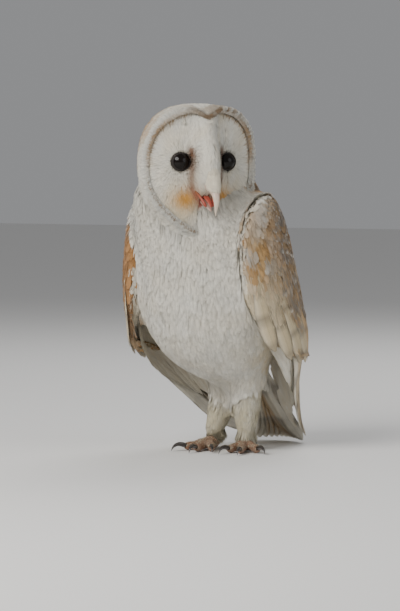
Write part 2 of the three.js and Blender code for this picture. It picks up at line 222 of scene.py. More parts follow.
eye_centre = {side: np.mean(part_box(f"eye_{side}"), axis=0) / MM for side in SIDES}
HEAD_LEFT = unit(unit(eye_centre["left"] - eye_centre["right"]) * [1, 1, 0])
HEAD_FRONT = np.cross(HEAD_LEFT, UP)
HEAD_CENTRE = (eye_centre["left"] + eye_centre["right"]) / 2 - EYE_FORWARD * HEAD_FRONT - EYE_UP * UP
SHIFT = HEAD_CENTRE - HEAD_CENTRE_IN_PART


def to_head(p):
    """Head coordinates: x to the owl's left, f forward, z up."""
    d = np.asarray(p, float) - HEAD_CENTRE
    return d @ HEAD_LEFT, d @ HEAD_FRONT, d[..., 2]


def from_head(x, f, z):
    x, f, z = (np.asarray(v, float)[..., None] for v in (x, f, z))
    return HEAD_CENTRE + x * HEAD_LEFT + f * HEAD_FRONT + z * UP


def eye_axis(side):
    """The way an eye looks, a little to its own side."""
    return unit(HEAD_FRONT + EYE_SPLAY * SIDES[side] * HEAD_LEFT)


def heart_radius(angle):
    """Distance from the middle of the facial disc to its rim."""
    across, over = np.cos(angle), np.sin(angle)
    power = np.where(over > 0, BROW_POWER, CHEEK_POWER)
    oval = (np.abs(across / DISC_HALF) ** power + np.abs(over / DISC_HALF) ** power) ** (-1 / power)
    notch = NOTCH_DEPTH * bell(np.arctan2(across, over), NOTCH_ANGLE)
    return oval - notch + CHIN_DROP * bell(np.arctan2(across, -over), CHIN_ANGLE)


def heart_share(x, z):
    """How far out a place of the face is, where 1 is the rim."""
    return np.hypot(x, z) / heart_radius(np.arctan2(z, x))


ridge_share = stations(
    [(0.0, 0.0), (0.22, 0.05), (0.32, 0.5), (0.41, 0.93), (0.55, 1.0), (0.75, 0.66), (0.9, 0.28), (1.0, 0.0)]
)


def rim_forward(x_share, z_share):
    """How far forward the disc's rim is, by its place as shares of the rim's distance."""
    return RIM_FORWARD - RIM_SWEEP * x_share**2 - CHIN_SWEEP * np.minimum(0, z_share) ** 2


def face_forward(x, z):
    """How far the face's feathered surface stands in front of the head's centre."""
    rim = heart_radius(np.arctan2(z, x))
    dish = DISH_DEPTH * np.sqrt(np.maximum(0, 1 - np.minimum(1, np.hypot(x, z) / rim) ** 4))
    rise = RIDGE_HEIGHT * ridge_share(np.clip((z / DISC_HALF + 1) / 2, 0, 1))[..., 0]
    ridge = rise * np.exp(-((np.abs(x) / RIDGE_WIDTH) ** 2.4))
    mound = MOUND_HEIGHT * bell(np.hypot(np.abs(x) - EYE_ACROSS, z - EYE_UP), MOUND_RADIUS)
    return rim_forward(x / rim, z / rim) - dish + ridge + mound


# The wing wraps the body: an arc of an oval round the body's plane of symmetry.
WING_ROWS = np.array(
    [
        # s, centre x, y, z, half width, half depth, front angle, back angle
        (0.0, -3, -26, 222, 53, 38, 88, 52),
        (0.12, -3, -30, 201, 61, 50, 118, 30),
        (0.3, -3, -26, 165, 69, 57, 129, 13),
        (0.48, -3, -17, 124, 74, 59, 128, 7),
        (0.64, -2, -2, 86, 75, 56, 121, 8),
        (0.8, -1, 28, 47, 56, 39, 112, 16),
        (0.92, 0, 60, 20, 41, 20, 103, 32),
        (1.0, 0, 95, 6, 27, 7, 90, 60),
    ]
)
wing_shape = stations(WING_ROWS)


def wing_point(side, s, across, out):
    """A point of the wing: across runs from -1 at the back edge to 1 at the front edge."""
    s, across, out = np.broadcast_arrays(*(np.asarray(v, float) for v in (s, across, out)))
    x, y, z, a, b, front, back = np.moveaxis(wing_shape(s), -1, 0)
    step = wing_shape(np.minimum(1, s + 0.01)) - wing_shape(np.maximum(0, s - 0.01))
    along = unit(step[..., 1:3])
    angle = np.radians(mix(back, front, (across + 1) / 2))
    width = a * (1 + WING_SPREAD[side] * s)
    normal = unit(np.stack([np.sin(angle) / width, np.cos(angle) / b], -1))
    sideways = width * np.sin(angle) + out * normal[..., 0]
    dorsal = b * np.cos(angle) + out * normal[..., 1]
    spot = (x + SIDES[side] * sideways, y - along[..., 1] * dorsal, z + along[..., 0] * dorsal)
    return np.stack(spot, -1) + SHIFT


def wing_share(p):
    """How far down the wing a point is, 0..1."""
    return np.interp(SHIFT[2] - p[:, 2], -WING_ROWS[:, 3], WING_ROWS[:, 0])


def wing_across(side, p, s):
    """Where a point lies between the wing's back edge, -1, and its front edge, 1."""
    place = p - SHIFT
    y_out = place[:, 1] - np.interp(s, [0, 0.3, 0.64, 0.8], [-26, -26, -2, 28])
    turn = np.degrees(np.arctan2(SIDES[side] * (place[:, 0] + 3), y_out))
    return np.clip((turn - 10) / 58 - 1, -1, 1)


def cover_end(across):
    """How far down the wing its coverts reach."""
    return mix(0.61, 0.84, (1 - across) / 2) - 0.05 * ramp(across, 0.5, 1)


# ---- Markings, as functions of place. All colours are linear ----

WHITE = np.array([0.80, 0.775, 0.69])
CREAM = np.array([0.72, 0.575, 0.33])
GOLD = np.array([0.46, 0.245, 0.07])
RUST = np.array([0.36, 0.13, 0.03])
GREY = np.array([0.27, 0.245, 0.215])
BROWN = np.array([0.12, 0.075, 0.035])
AMBER = np.array([0.62, 0.29, 0.04])
LEG_CREAM = np.array([0.74, 0.66, 0.46])
RED = np.array([0.3024, 0.0432, 0.0144])
HORN_PALE = np.array([0.68, 0.56, 0.44])
HORN_PINK = np.array([0.60, 0.40, 0.32])
GAPE = np.array([0.36, 0.06, 0.035])


def painted(tint, *layers):
    """Layers of (colour, amount for each place) laid over a tint in turn."""
    for colour, amount in layers:
        tint = tint + (colour - tint) * np.clip(amount, 0, 1)[..., None]
    return tint


def plain(colour, places):
    """The same colour for each place."""
    return np.tile(colour, (len(places), 1))


def face_tint(p):
    x, _, z = to_head(p)
    side, share = np.abs(x), heart_share(x, z)
    upper_rim = ramp(z, -8, 12) * ramp(side, 6, 20) * bell(share - 0.915, 0.04)
    gape = bell(side - np.interp(z, [-30, -16], [3.5, 11.5]), 3.0) * bell(z + 22.5, 7)
    smudge = bell(side - np.interp(z, [-20, -8, 6, 16], [11.2, 12.4, 12.6, 12.8]), 2.9)
    smudge = smudge * ramp(z, -24, -15) * (1 - ramp(z, 14, 19)) * (0.75 + 0.25 * bell(z - 8, 8))
    eye_ring = bell(np.hypot(side - EYE_ACROSS, z - EYE_UP) - 7.6, 1.3)
    notch = bell(np.arctan2(x, z), math.radians(15)) * ramp(z, 10, 30) * ramp(share, 0.93, 0.97)
    return painted(
        WHITE,
        (CREAM, 0.14 + 0.12 * wobble(p, 14, 3)),
        (mix(GOLD, BROWN, 0.22), 0.85 * upper_rim),
        (CREAM, 0.7 * bell(np.hypot(side - 18, z + 30), 15)),
        (AMBER, bell(np.hypot((side - 15.5) * 0.8, z + 25), 8)),
        (RED, 0.85 * gape),
        (RUST * 0.5, smudge),
        (BROWN * 0.6, 0.75 * eye_ring),
        (mix(BROWN, GOLD, 0.25), 0.85 * notch),
        (mix(BROWN, GOLD, 0.45), 0.72 * bell(share - 1.0, 0.028) * ramp(-z, 4, 20)),
    )


def skull_tint(p):
    """The tint, and how golden it is."""
    _, f, z = to_head(p)
    crown = ramp(0.4 * z - f + 4 * wobble(p, 22, 6), 8, 24)
    nape = ramp(-f + 0.5 * np.clip(z + 5, -10, 24) + 4 * wobble(p, 20, 7), 13, 22)
    gold = np.maximum(crown * ramp(z, 5, 20), nape)
    return painted(WHITE, (CREAM, 0.14 + 0.1 * wobble(p, 16, 5)), (GOLD, 0.9 * gold)), gold


def body_tint(p):
    """The tint, and how golden it is."""
    turn, z = body_map(p).T
    turn = np.abs(np.degrees(turn))
    flank = ramp(turn, 36, 72) * ramp(-z, -150, -105)
    gold = ramp(turn + 7 * wobble(p, 24, 12), 104, 122)
    tint = painted(
        WHITE,
        (CREAM, 0.10 + 0.10 * wobble(p, 26, 9)),
        # painted shade: faint grey streaks, stretched up and down, stand for the soft streaky shading of the
        # breast
        (GREY, 0.05 + 0.07 * wobble(p * [1, 1, 0.3], 9, 26)),
        (CREAM, flank * (0.3 + 0.4 * wobble(p, 20, 10))),
        (GOLD, 0.9 * gold),
    )
    return tint, gold


def wing_tint(p, side, s, across):
    """Gold above, with the pattern of the front edge as the folded wing shows it."""
    if side == "left":
        shoulder = ramp(across, 0.4, 0.75) * (1 - ramp(s, 0.28, 0.38)) * ramp(wobble(p, 20, 15), -0.8, 0.6)
        lead = ramp(across + 0.05 * wobble(p, 26, 16), 0.3, 0.8) * ramp(s, 0.30, 0.40)
        front = [(mix(WHITE, GREY, 0.35), 0.85 * shoulder), (mix(CREAM, WHITE, 0.3), 0.9 * lead)]
    else:
        lead = ramp(across, 0.5, 0.74)
        pale = 0.5 * lead * ramp(s, 0.36, 0.56)
        front = [(mix(RUST, GOLD, 0.45), 0.85 * lead), (mix(CREAM, WHITE, 0.4), pale)]
    return painted(GOLD, (CREAM, 0.15 + 0.15 * wobble(p, 18, 14)), *front)


# ---- Unwraps of the skin's own shape ----


def face_map(p):
    x, _, z = to_head(p)
    return np.stack([x, z], 1)


def skull_map(p):
    x, f, z = to_head(p)
    polar = np.arccos(np.clip(-f / np.sqrt(x**2 + f**2 + z**2 + 1e-6), -1, 1))
    turn = np.arctan2(z, x)
    return np.stack([polar * np.cos(turn), polar * np.sin(turn)], 1)


def body_map(p):
    x, y, z = (p - SHIFT).T
    return np.stack([np.arctan2(x + 2, np.interp(z, *BODY_AXIS) - y), z], 1)


def back_map(p):
    turn, height = body_map(p).T
    return np.stack([np.remainder(turn, 2 * math.pi), height], 1)


def leg_map(p):
    x, y, z = (p - SHIFT).T
    side = np.sign(x)
    return np.stack([side * 3.3 + np.arctan2(x - side * LEG_ACROSS, 9 - y), z], 1)


# ---- Materials ----


class Look:
    """A material built node on node. Inputs are numbers or other nodes' outputs."""

    def __init__(self, name, roughness, **sockets):
        self.material = bpy.data.materials.new(name)
        self.material.use_nodes = True
        self.tree = self.material.node_tree
        self.shader = self.tree.nodes["Principled BSDF"]
        for key, value in {"Roughness": roughness, **sockets}.items():
            self.shader.inputs[key.replace("_", " ")].default_value = value

    def node(self, kind, output, inputs, **settings):
        node = self.tree.nodes.new("ShaderNode" + kind)
        for key, value in settings.items():
            setattr(node, key, value)
        for key, value in inputs.items():
            if isinstance(value, bpy.types.NodeSocket):
                self.tree.links.new(value, node.inputs[key])
            else:
                node.inputs[key].default_value = value
        return node.outputs[output]

    def place(self):
        return self.node("TexCoord", "Object", {})

    def noise(self, scale, detail, source=None):
        source = self.place() if source is None else source
        return self.node("TexNoise", "Fac", {"Scale": scale, "Detail": detail, "Vector": source})

    def ranged(self, value, low, high):
        return self.node("MapRange", "Result", {"Value": value, "To Min": low, "To Max": high})

    def maths(self, operation, a, b=0.0):
        return self.node("Math", 0, {0: a, 1: b}, operation=operation)

    def colour(self, shade):
        """The tint of each place, lighter and darker by the shade."""
        tint = self.node("Attribute", "Color", {}, attribute_name="tint")
        scaled = self.node("VectorMath", "Vector", {0: tint, "Scale": shade}, operation="SCALE")
        self.tree.links.new(scaled, self.shader.inputs["Base Color"])

    def bump(self, height, distance, strength=1.0):
        inputs = {"Height": height, "Distance": distance, "Strength": strength}
        self.tree.links.new(self.node("Bump", "Normal", inputs), self.shader.inputs["Normal"])


def plumage_material(name, barb_count, contrast):
    """Vanes with oblique barbs on both sides of a fine shaft."""
    look = Look(name, 0.85, Sheen_Weight=0.12, Sheen_Roughness=0.6)
    vane = look.node("UVMap", "UV", {}, uv_map="Vane")
    across, along = (look.node("SeparateXYZ", k, {0: vane}) for k in (0, 1))
    away = look.maths("ABSOLUTE", look.maths("SUBTRACT", across, 0.5))
    slant = look.maths("SUBTRACT", along, look.maths("MULTIPLY", away, 0.3))
    uneven = look.maths("MULTIPLY", look.noise(9.0, 2.0, vane), 7.0)
    turns = look.maths("ADD", look.maths("MULTIPLY", slant, barb_count * 6.2832), uneven)
    barbs = look.maths("SINE", turns)
    shade = look.maths("ADD", look.maths("MULTIPLY", barbs, contrast), 1.0)
    shade = look.maths("MULTIPLY", shade, look.ranged(look.noise(420.0, 4.0), 0.93, 1.07))
    shaft = look.maths("MULTIPLY", look.maths("LESS_THAN", away, 0.035), 0.1)
    look.colour(look.maths("SUBTRACT", shade, shaft))
    look.bump(barbs, 0.00015, 0.7)
    return look.material


def grained_material(name, roughness, grain, low, high, pores, detail, depth, **sockets):
    """A tint mottled by coarse grain, with fine pores in relief."""
    look = Look(name, roughness, **sockets)
    look.colour(look.ranged(look.noise(grain, 5.0), low, high))
    look.bump(look.noise(pores, detail), depth)
    return look.material


def horn_material(name, roughness, coat):
    return grained_material(name, roughness, 330.0, 0.85, 1.15, 900.0, 3.0, 0.00008, Coat_Weight=coat)


def toe_material():
    """Scutes, with painted shade darkening the creases between them."""
    look = Look("toe_scutes_crease_shade", 0.5)
    inputs = {"Vector": look.place(), "Scale": 560.0}
    edge = look.node("TexVoronoi", "Distance", inputs, feature="DISTANCE_TO_EDGE")
    # painted shade: the colour darkens towards the scutes' edges, the creases
    look.colour(look.ranged(edge, 0.45, 1.25))
    look.bump(edge, 0.0006)
    return look.material


def eye_material():
    look = Look("eye_dark", 0.07, Specular_IOR_Level=0.22)
    inputs = {0: look.noise(300.0, 3.0), 6: (0.003, 0.0025, 0.0025, 1), 7: (0.010, 0.006, 0.004, 1)}
    colour = look.node("Mix", 2, inputs, data_type="RGBA")
    look.tree.links.new(colour, look.shader.inputs["Base Color"])
    return look.material


PLUME = plumage_material("plumage", 22.0, 0.09)
DOWN = plumage_material("face_plumage_vanes", 4.0, 0.03)
FLIGHT = plumage_material("flight_feathers", 17.0, 0.07)
BILL = horn_material("bill", 0.38, 0.3)
MOUTH = horn_material("mouth", 0.5, 0.15)
CLAW = horn_material("claw", 0.25, 0.5)
EYE = eye_material()

# ---- The skin: the nodes of flesh remeshed as one, then drawn in by the coat's depth ----

BODY_NODES = ["head", "neck", "trunk", "wing_left", "wing_right", "leg_left", "leg_right"]
FOOT_NODES = ["foot_left", "foot_right"]
HEAD, NECK, TRUNK, WING_LEFT, WING_RIGHT, LEG_LEFT, LEG_RIGHT, FOOT = range(8)
WINGS = {"left": WING_LEFT, "right": WING_RIGHT}
COAT_DEPTH = np.array([3.2, 5.0, 5.0, 2.2, 2.2, 3.0, 3.0])  # of each body node
DISC_DEPTH, ANKLE_DEPTH, FOOT_DEPTH = 1.3, 2.0, 0.5
ANKLE_HEIGHT = 40
BODY_VOXEL, FOOT_VOXEL = 1.5, 0.62
SWELL, SWELL_KEPT = 4.0, 0.35
LONGEST_RAY, THICK = 40.0, 60.0
SOCKET_RADIUS, SOCKET_EDGE = 8.4, 4.6  # round the eye's axis, and forward of its centre


def node_arrays(name):
    """A CAD node's vertices and triangles, with its doubled vertices joined."""
    verts, faces = mesh_arrays(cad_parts[name].data)
    _, index, inverse = np.unique(np.round(verts, 3), axis=0, return_index=True, return_inverse=True)
    faces = inverse.ravel()[faces]
    a, b, c = faces.T
    return verts[index], faces[(a != b) & (b != c) & (c != a)]


def vertex_normals(verts, tris):
    n = np.cross(verts[tris[:, 1]] - verts[tris[:, 0]], verts[tris[:, 2]] - verts[tris[:, 0]])
    total = np.zeros_like(verts)
    for k in range(3):
        np.add.at(total, tris[:, k], n)
    return unit(total)


def remeshed(nodes, voxel, swell):
    """One closed triangle mesh round the swollen nodes, as arrays."""
    swollen = [(v + swell * vertex_normals(v, f), f) for v, f in map(node_arrays, nodes)]
    obj = mesh_object("flesh", *joined(swollen))
    remesh = obj.modifiers.new("remesh", "REMESH")
    remesh.mode = "VOXEL"
    remesh.voxel_size = voxel * MM
    obj.modifiers.new("triangles", "TRIANGULATE")
    graph = bpy.context.evaluated_depsgraph_get()
    made = bpy.data.meshes.new_from_object(obj.evaluated_get(graph))
    arrays = mesh_arrays(made)
    bpy.data.objects.remove(obj)
    bpy.data.meshes.remove(made)
    return arrays


def averager(count, tris):
    """A function that replaces each vertex's value by the mean of its neighbours'."""
    a, b = tris.T.ravel(), tris[:, [1, 2, 0]].T.ravel()
    weight = np.bincount(a, minlength=count).astype(float)[:, None]

    def mean(values):
        sums = [np.bincount(a, column[b], minlength=count) for column in values.reshape(count, -1).T]
        return np.stack(sums, 1) / weight

    return mean


def relaxed(values, mean, rounds, amount=0.5):
    for _ in range(rounds):
        values = values + amount * (mean(values) - values.reshape(len(values), -1)).reshape(values.shape)
    return values


# swollen and drawn back again, which closes the narrow clefts between the nodes
skin_v, skin_f = remeshed(BODY_NODES, BODY_VOXEL, SWELL)
mean = averager(len(skin_v), skin_f)
skin_v = relaxed(skin_v, mean, 5)
outward = unit(relaxed(vertex_normals(skin_v, skin_f), mean, 2))
skin_v = relaxed(skin_v - (SWELL - SWELL_KEPT) * outward, mean, 3)

# which CAD node each place of the skin belongs to
node_meshes = [node_arrays(name) for name in BODY_NODES]
node_of_face = np.repeat(np.arange(len(BODY_NODES)), [len(f) for _, f in node_meshes])
node_tree = tree_of(*joined(node_meshes))
region = node_of_face[[node_tree.find_nearest(p)[2] for p in skin_v.tolist()]]

# the face follows its exact form
hx, hf, hz = to_head(skin_v)
share = heart_share(hx, hz)
follow = ((region == HEAD) & (share < 0.97) & (hf > 2)) * ramp(0.97 - share, 0, 0.08)
skin_v = skin_v + (from_head(hx, face_forward(hx, hz), hz) - skin_v) * follow[:, None]

# the depth of the coat, less on the disc and low on the legs
disc_like = (region == HEAD) * ramp(1.0 - share, 0.0, 0.1) * ramp(to_head(skin_v)[1], 0, 8)
depth = mix(COAT_DEPTH[region], DISC_DEPTH, disc_like)
depth = np.where((region >= LEG_LEFT) & (skin_v[:, 2] < ANKLE_HEIGHT), ANKLE_DEPTH, depth)
depth = relaxed(depth, mean, 8)
normals = vertex_normals(skin_v, skin_f)

# where the flesh is thin the skin goes in less
skin_tree = tree_of(skin_v, skin_f)
rays = zip((skin_v - 0.05 * normals).tolist(), (-normals).tolist())
hits = [skin_tree.ray_cast(start, inward, LONGEST_RAY)[3] for start, inward in rays]
thickness = np.array([THICK if distance is None else distance for distance in hits])
thickness = np.minimum(thickness, relaxed(thickness, mean, 4))
depth = relaxed(np.minimum(depth, 0.3 * thickness), mean, 3)
skin_v = relaxed(skin_v - depth[:, None] * normals, mean, 3)

# the wings' upper ends are blunt under the coat
blunt = np.zeros(len(skin_v))
for code in WINGS.values():
    mask = region == code
    blunt[mask] = 0.8 * np.maximum(0, skin_v[mask, 2] - skin_v[mask, 2].max() + 8.0)
skin_v[:, 2] -= relaxed(blunt, mean, 3)

# a socket round each eye, so that the eyeball stands clear of the skin inside the lids
for side in SIDES:
    axis = eye_axis(side)
    from_eye = skin_v - eye_centre[side]
    height = from_eye @ axis
    away = np.linalg.norm(from_eye - height[:, None] * axis, axis=1)
    inside, outside = ramp(away, 6.0, SOCKET_RADIUS), 2.2 * (away - SOCKET_RADIUS)
    limit = np.where(away < SOCKET_RADIUS, mix(1.5, SOCKET_EDGE, inside), SOCKET_EDGE + outside)
    push = np.where((region == HEAD) & (height > 0) & (away < 13), np.minimum(0, limit - height), 0)
    skin_v = skin_v + push[:, None] * axis
skin_n = unit(relaxed(vertex_normals(skin_v, skin_f), mean, 3))

# the feet join it, on a finer mesh, with their soles on the floor
foot_v, foot_f = remeshed(FOOT_NODES, FOOT_VOXEL, 0.0)
foot_v = np.where(foot_v[:, 2:] < 0.4, foot_v, relaxed(foot_v, averager(len(foot_v), foot_f), 5))
foot_v[:, 2] = np.maximum(foot_v[:, 2], 0.05)
foot_n = vertex_normals(foot_v, foot_f)
skin_v, skin_f, skin_n = joined([(skin_v, skin_f, skin_n), (foot_v, foot_f, foot_n)])
of_foot = ((region, FOOT), (share, 9.0), (depth, FOOT_DEPTH))
region, share, depth = (np.append(values, np.full(len(foot_v), value)) for values, value in of_foot)
mean = averager(len(skin_v), skin_f)

# ---- The lie of the coat, one direction for each place of the skin ----

local = skin_v - SHIFT
hx, hf, hz = to_head(skin_v)
head_mask = region == HEAD
body_zone = (region == NECK) | (region == TRUNK)
wing_zone = (region == WING_LEFT) | (region == WING_RIGHT)
leg_zone = (region == LEG_LEFT) | (region == LEG_RIGHT)
foot_mask = region == FOOT
face_mask = head_mask & (share < 1.0) & (hf > 2)
face_inside = (share < 1.0) & (hf > 4)

flow = plain([0.0, 0.32, -1.0], skin_v)
flow[head_mask] = -HEAD_FRONT - 0.75 * UP
eye_side = np.where(hx[:, None] > 0, eye_centre["left"], eye_centre["right"])
middle = ramp(10 - np.abs(hx), 0, 6)[:, None]
down_ridge = np.sign(hx)[:, None] * HEAD_LEFT * 0.4 - UP + HEAD_FRONT * 0.25
face_lie = unit(skin_v - eye_side) * (1 - middle) + unit(down_ridge) * middle
flow[face_mask] = face_lie[face_mask]
for side, code in WINGS.items():
    s = wing_share(skin_v[region == code])
    below, above = np.minimum(1, s + 0.05), np.maximum(0, s - 0.05)
    flow[region == code] = wing_point(side, below, 0.0, 0) - wing_point(side, above, 0.0, 0)
flow[leg_zone] = [0.0, -0.25, -1.0]
ankle = np.where(local[foot_mask, :1] > 0, [[LEG_ACROSS, LEG_BACK, 10.0]], [[-LEG_ACROSS, LEG_BACK, 10.0]])
flow[foot_mask] = (local[foot_mask] - ankle) * [1, 1, 0.3]
flow = tangent(unit(flow), skin_n)
flow = tangent(relaxed(flow, mean, 6), skin_n)

skin_tree = tree_of(skin_v, skin_f)
face_n, face_flow = (unit(values[skin_f].mean(axis=1)) for values in (skin_n, flow))
face_depth = depth[skin_f].mean(axis=1)

# ---- Growing vanes ----

# A vane's section: share across, lift by its thickness, the first edges of it on the upper side.
# Then places along it with their half widths, and its tips: corners of the last ring, place across, along.
FIVE = [(1.0, 0.0), (0.4, 1.0), (-0.4, 1.0), (-1.0, 0.0), (0.0, -1.0)]
BROAD = {
    "section": FIVE,
    "over": 3,
    "steps": 3,
    "rings": [(0.0, 0.34), (0.42, 1.0), (0.8, 0.84)],
    "tips": [((0, 1, 4), 0.62, 0.93), ((1, 2, 4), 0.0, 1.0), ((2, 3, 4), -0.62, 0.95)],
}
ROUND = {
    "section": FIVE,
    "over": 3,
    "steps": 3,
    "rings": [(0.0, 0.36), (0.4, 0.95), (0.74, 0.98), (0.93, 0.62)],
    "tips": [((0, 1, 2, 3, 4), 0.0, 1.0)],
}
FINE = {
    "section": [(1.0, 0.0), (0.0, 1.0), (-1.0, 0.0)],
    "over": 2,
    "steps": 2,
    "rings": [(0.0, 0.5), (0.42, 1.0), (0.8, 0.62)],
    "tips": [((0, 1, 2), 0.0, 1.0)],
}
LEAN = 0.3  # how far a vane's shading turns towards its edges
BAKE_PATCH = 0.003  # the size of a vane on the bake map
LOWEST_VANE = 0.25


def nearest_on_skin(points):
    """Nearest places of the skin, and their faces."""
    found = [skin_tree.find_nearest(p) for p in points.tolist()]
    return np.array([f[0] for f in found]), np.array([f[2] for f in found])


def scattered(mask, spacing):
    """Roots over the masked vertices' faces, one for each cell of the spacing."""
    faces = np.nonzero(mask[skin_f].all(axis=1))[0]
    a, b, c = (skin_v[skin_f[faces, k]] for k in range(3))
    area = np.linalg.norm(np.cross(b - a, c - a), axis=1) / 2
    count = int(area.sum() / spacing**2 * 2.6)
    chosen = rng.choice(len(faces), count, p=area / area.sum())
    u, v = rng.random(count), rng.random(count)
    flip = u + v > 1
    u, v = np.where(flip, 1 - u, u), np.where(flip, 1 - v, v)
    points = a[chosen] + u[:, None] * (b - a)[chosen] + v[:, None] * (c - a)[chosen]
    cells = np.floor(points / spacing + rng.random(3)).astype(np.int64)
    _, first = np.unique(cells, axis=0, return_index=True)
    return points[first], faces[chosen[first]]


def stacked(place_at):
    """A path for each vane, from a function of the share of its length."""
    return np.stack([place_at(t) for t in (0.0, 0.35, 0.7, 1.0)], 1)


def vane_faces(kind):
    """Triangles of one closed vane, and which of them are on its under side."""
    sides, rings, over = len(kind["section"]), len(kind["rings"]), kind["over"]
    faces = [((0, k, k + 1), True) for k in range(1, sides - 1)]
    for a, b, c, d in wall(rings, sides):
        faces += [((a, d, c), a % sides >= over), ((a, c, b), a % sides >= over)]
    last = (rings - 1) * sides
    for i, (corners, _, _) in enumerate(kind["tips"]):
        for k, a in enumerate(corners):
            b = corners[(k + 1) % len(corners)]
            faces.append(((last + a, rings * sides + i, last + b), b == (a + 1) % sides and a >= over))
    tris, under = zip(*faces)
    return np.array(tris), np.array(under)


def grow(points, faces, length, half_width, rise, kind=BROAD, spread=0.12, aim=None, even=0.8, **form):
    """Closed vanes that leave the skin at the points and lie along it. Returns their arrays."""
    count, steps = len(points), kind["steps"]
    stride = (length * rng.uniform(0.8, 1.15, count) / steps)[:, None]
    half_width = half_width * rng.uniform(0.85, 1.15, count)
    rise = rise * rng.uniform(even, 1.05, count)
    p, n = points, face_n[faces]
    d = face_flow[faces] if aim is None else tangent(aim, n)
    turn = rng.normal(0, spread, count)[:, None]
    d = unit(d * np.cos(turn) + np.cross(n, d) * np.sin(turn))
    knots = [(p, n, d)]
    for _ in range(steps):
        q, face = nearest_on_skin(p + d * stride)
        toward = face_flow[face] if aim is None else aim
        d = tangent(0.65 * d + 0.35 * toward, face_n[face])
        moved = np.linalg.norm(q - p, axis=1, keepdims=True) > 0.3 * stride
        p, n = np.where(moved, q, p + d * stride), unit(0.5 * n + 0.5 * face_n[face])
        knots.append((p, n, d))
    path, path_n, path_d = (np.stack(column, 1) for column in zip(*knots))
    return vanes_along(path, path_n, half_width, rise, kind, path_d, **form)


def vanes_along(
    path, path_n, half_width, rise, kind, path_d=None, thick=0.16, root_share=0.1, camber=0.22, roll=0.16
):
    """Closed vanes over paths, lifted off them by the rise towards their tips. Returns their arrays."""
    count, steps = path.shape[0], path.shape[1] - 1
    path_n, rise = np.broadcast_to(path_n, path.shape), np.broadcast_to(rise, count)
    path_d = unit(np.gradient(path, axis=1)) if path_d is None else path_d
    roll = rng.normal(0, roll, count)[:, None]

    def spine(t):
        x = t * steps
        i = min(int(x), steps - 1)
        centre, nn, dd = (mix(v[:, i], v[:, i + 1], x - i) for v in (path, path_n, path_d))
        nn, dd = unit(nn), unit(dd)
        height = rise * (root_share + (1 - root_share) * math.sin(min(1.0, t * 1.08) * math.pi / 2) ** 0.9)
        side = unit(np.cross(dd, nn) * np.cos(roll) + nn * np.sin(roll))
        return centre + nn * height[:, None], side, unit(np.cross(side, dd)), nn

    corners = []
    for t, width in kind["rings"]:
        centre, side, top, nn = spine(t)
        half = (half_width * width)[:, None]
        for across, lift in kind["section"]:
            corner = centre + side * half * across + top * (thick * lift - half * camber * across**2)
            corners.append((corner, nn, side * across, ((across + 1) / 2, max(0.0, t + 0.04 * lift))))
    for _, across, t in kind["tips"]:
        centre, side, top, nn = spine(t)
        offset = half * across
        corner = centre + side * offset - top * np.abs(offset) * camber
        corners.append((corner, nn, side * across, ((across + 1) / 2, t)))
    verts, normals, lean, places = zip(*corners)
    verts = np.stack(verts, 1)
    verts[..., 2] = np.maximum(verts[..., 2], LOWEST_VANE)
    tris, under = vane_faces(kind)
    return {
        "verts": verts,
        "normals": np.stack(normals, 1),
        "lean": np.stack(lean, 1),
        "local": np.array(places),
        "tris": tris,
        "under": under,
    }


def corner_normals(g):
    """Soft over the upper side of each vane, flat on its under side."""
    soft = unit(g["normals"][:, g["tris"]] + LEAN * g["lean"][:, g["tris"]])
    a, b, c = (g["verts"][:, g["tris"][:, k]] for k in range(3))
    flat = unit(np.cross(b - a, c - a))[:, :, None]
    return np.where(g["under"][None, :, None, None], flat, soft).reshape(-1, 3)


def shade_along(g):
    """Painted shade: darker towards the root, where other vanes lie over it."""
    return 0.86 + 0.14 * np.clip(g["local"][:, 1] * 1.5, 0, 1)


def coat_piece(name, groups, look, slot):
    """One mesh of groups of vanes: each is (vanes, tint per vane or per vertex, place on an unwrap)."""
    everywhere = np.vstack([place for _, _, place in groups])
    low, high = everywhere.min(0), everywhere.max(0)
    parts = []
    for g, tint, place in groups:
        n, m = g["verts"].shape[:2]
        tris = (g["tris"][None] + (m * np.arange(n))[:, None, None]).reshape(-1, 3)
        # tints given per vane get the painted shade towards each vane's root
        if tint.ndim == 2:
            tint = tint[:, None, :] * shade_along(g)[None, :, None]
        spot = 0.01 + 0.98 * (place - low) / (high - low)
        bake = spot[:, None, :] + ((g["local"] - 0.5) * BAKE_PATCH)[None]
        vane = np.broadcast_to(g["local"][None], (n, m, 2))
        verts, tint, bake, vane = (v.reshape(-1, v.shape[-1]) for v in (g["verts"], tint, bake, vane))
        parts.append((verts, tris, tint, bake, vane))
    verts, tris, tints, bake, vane = joined(parts)
    obj = piece(name, verts, tris, tints, look, slot, OFBake=bake, Vane=vane)
    obj.data.normals_split_custom_set(np.vstack([corner_normals(g) for g, _, _ in groups]).tolist())


def varied(tint, amount=0.07):
    """Each vane a little lighter or darker than its place."""
    return np.clip(tint * (1 + rng.normal(0, amount, (len(tint), 1))), 0, 1)


def veiled(g, tint, has_spot, veil):
    """Tints per vertex, over painted shade towards the root: a grey veil over the outer half, then a dark and
    a white tear near the tip.
    """
    across, along = g["local"].T
    middle = bell(across - 0.5, 0.34)
    dark = (bell(along - 0.72, 0.12) * (0.4 + 0.6 * middle))[None] * has_spot[:, None] * 0.92
    pale = (bell(along - 0.99, 0.08) * middle)[None] * has_spot[:, None] * 0.95
    return painted(
        tint[:, None, :] * shade_along(g)[None, :, None],
        (GREY * 1.15, ramp(along, 0.3, 0.8)[None] * veil[:, None]),
        (BROWN * 0.5, dark),
        (WHITE, pale),
    )


def chance_of(part, places):
    """True for about that part of the places."""
    return rng.random(len(places)) < part


def patches(places, size, seed, low=-0.5, high=0.6):
    """Soft patches of 0 and 1 over the places."""
    return ramp(wobble(places, size, seed), low, high)


# ---- The face: fine tufts that ray out from the eyes ----

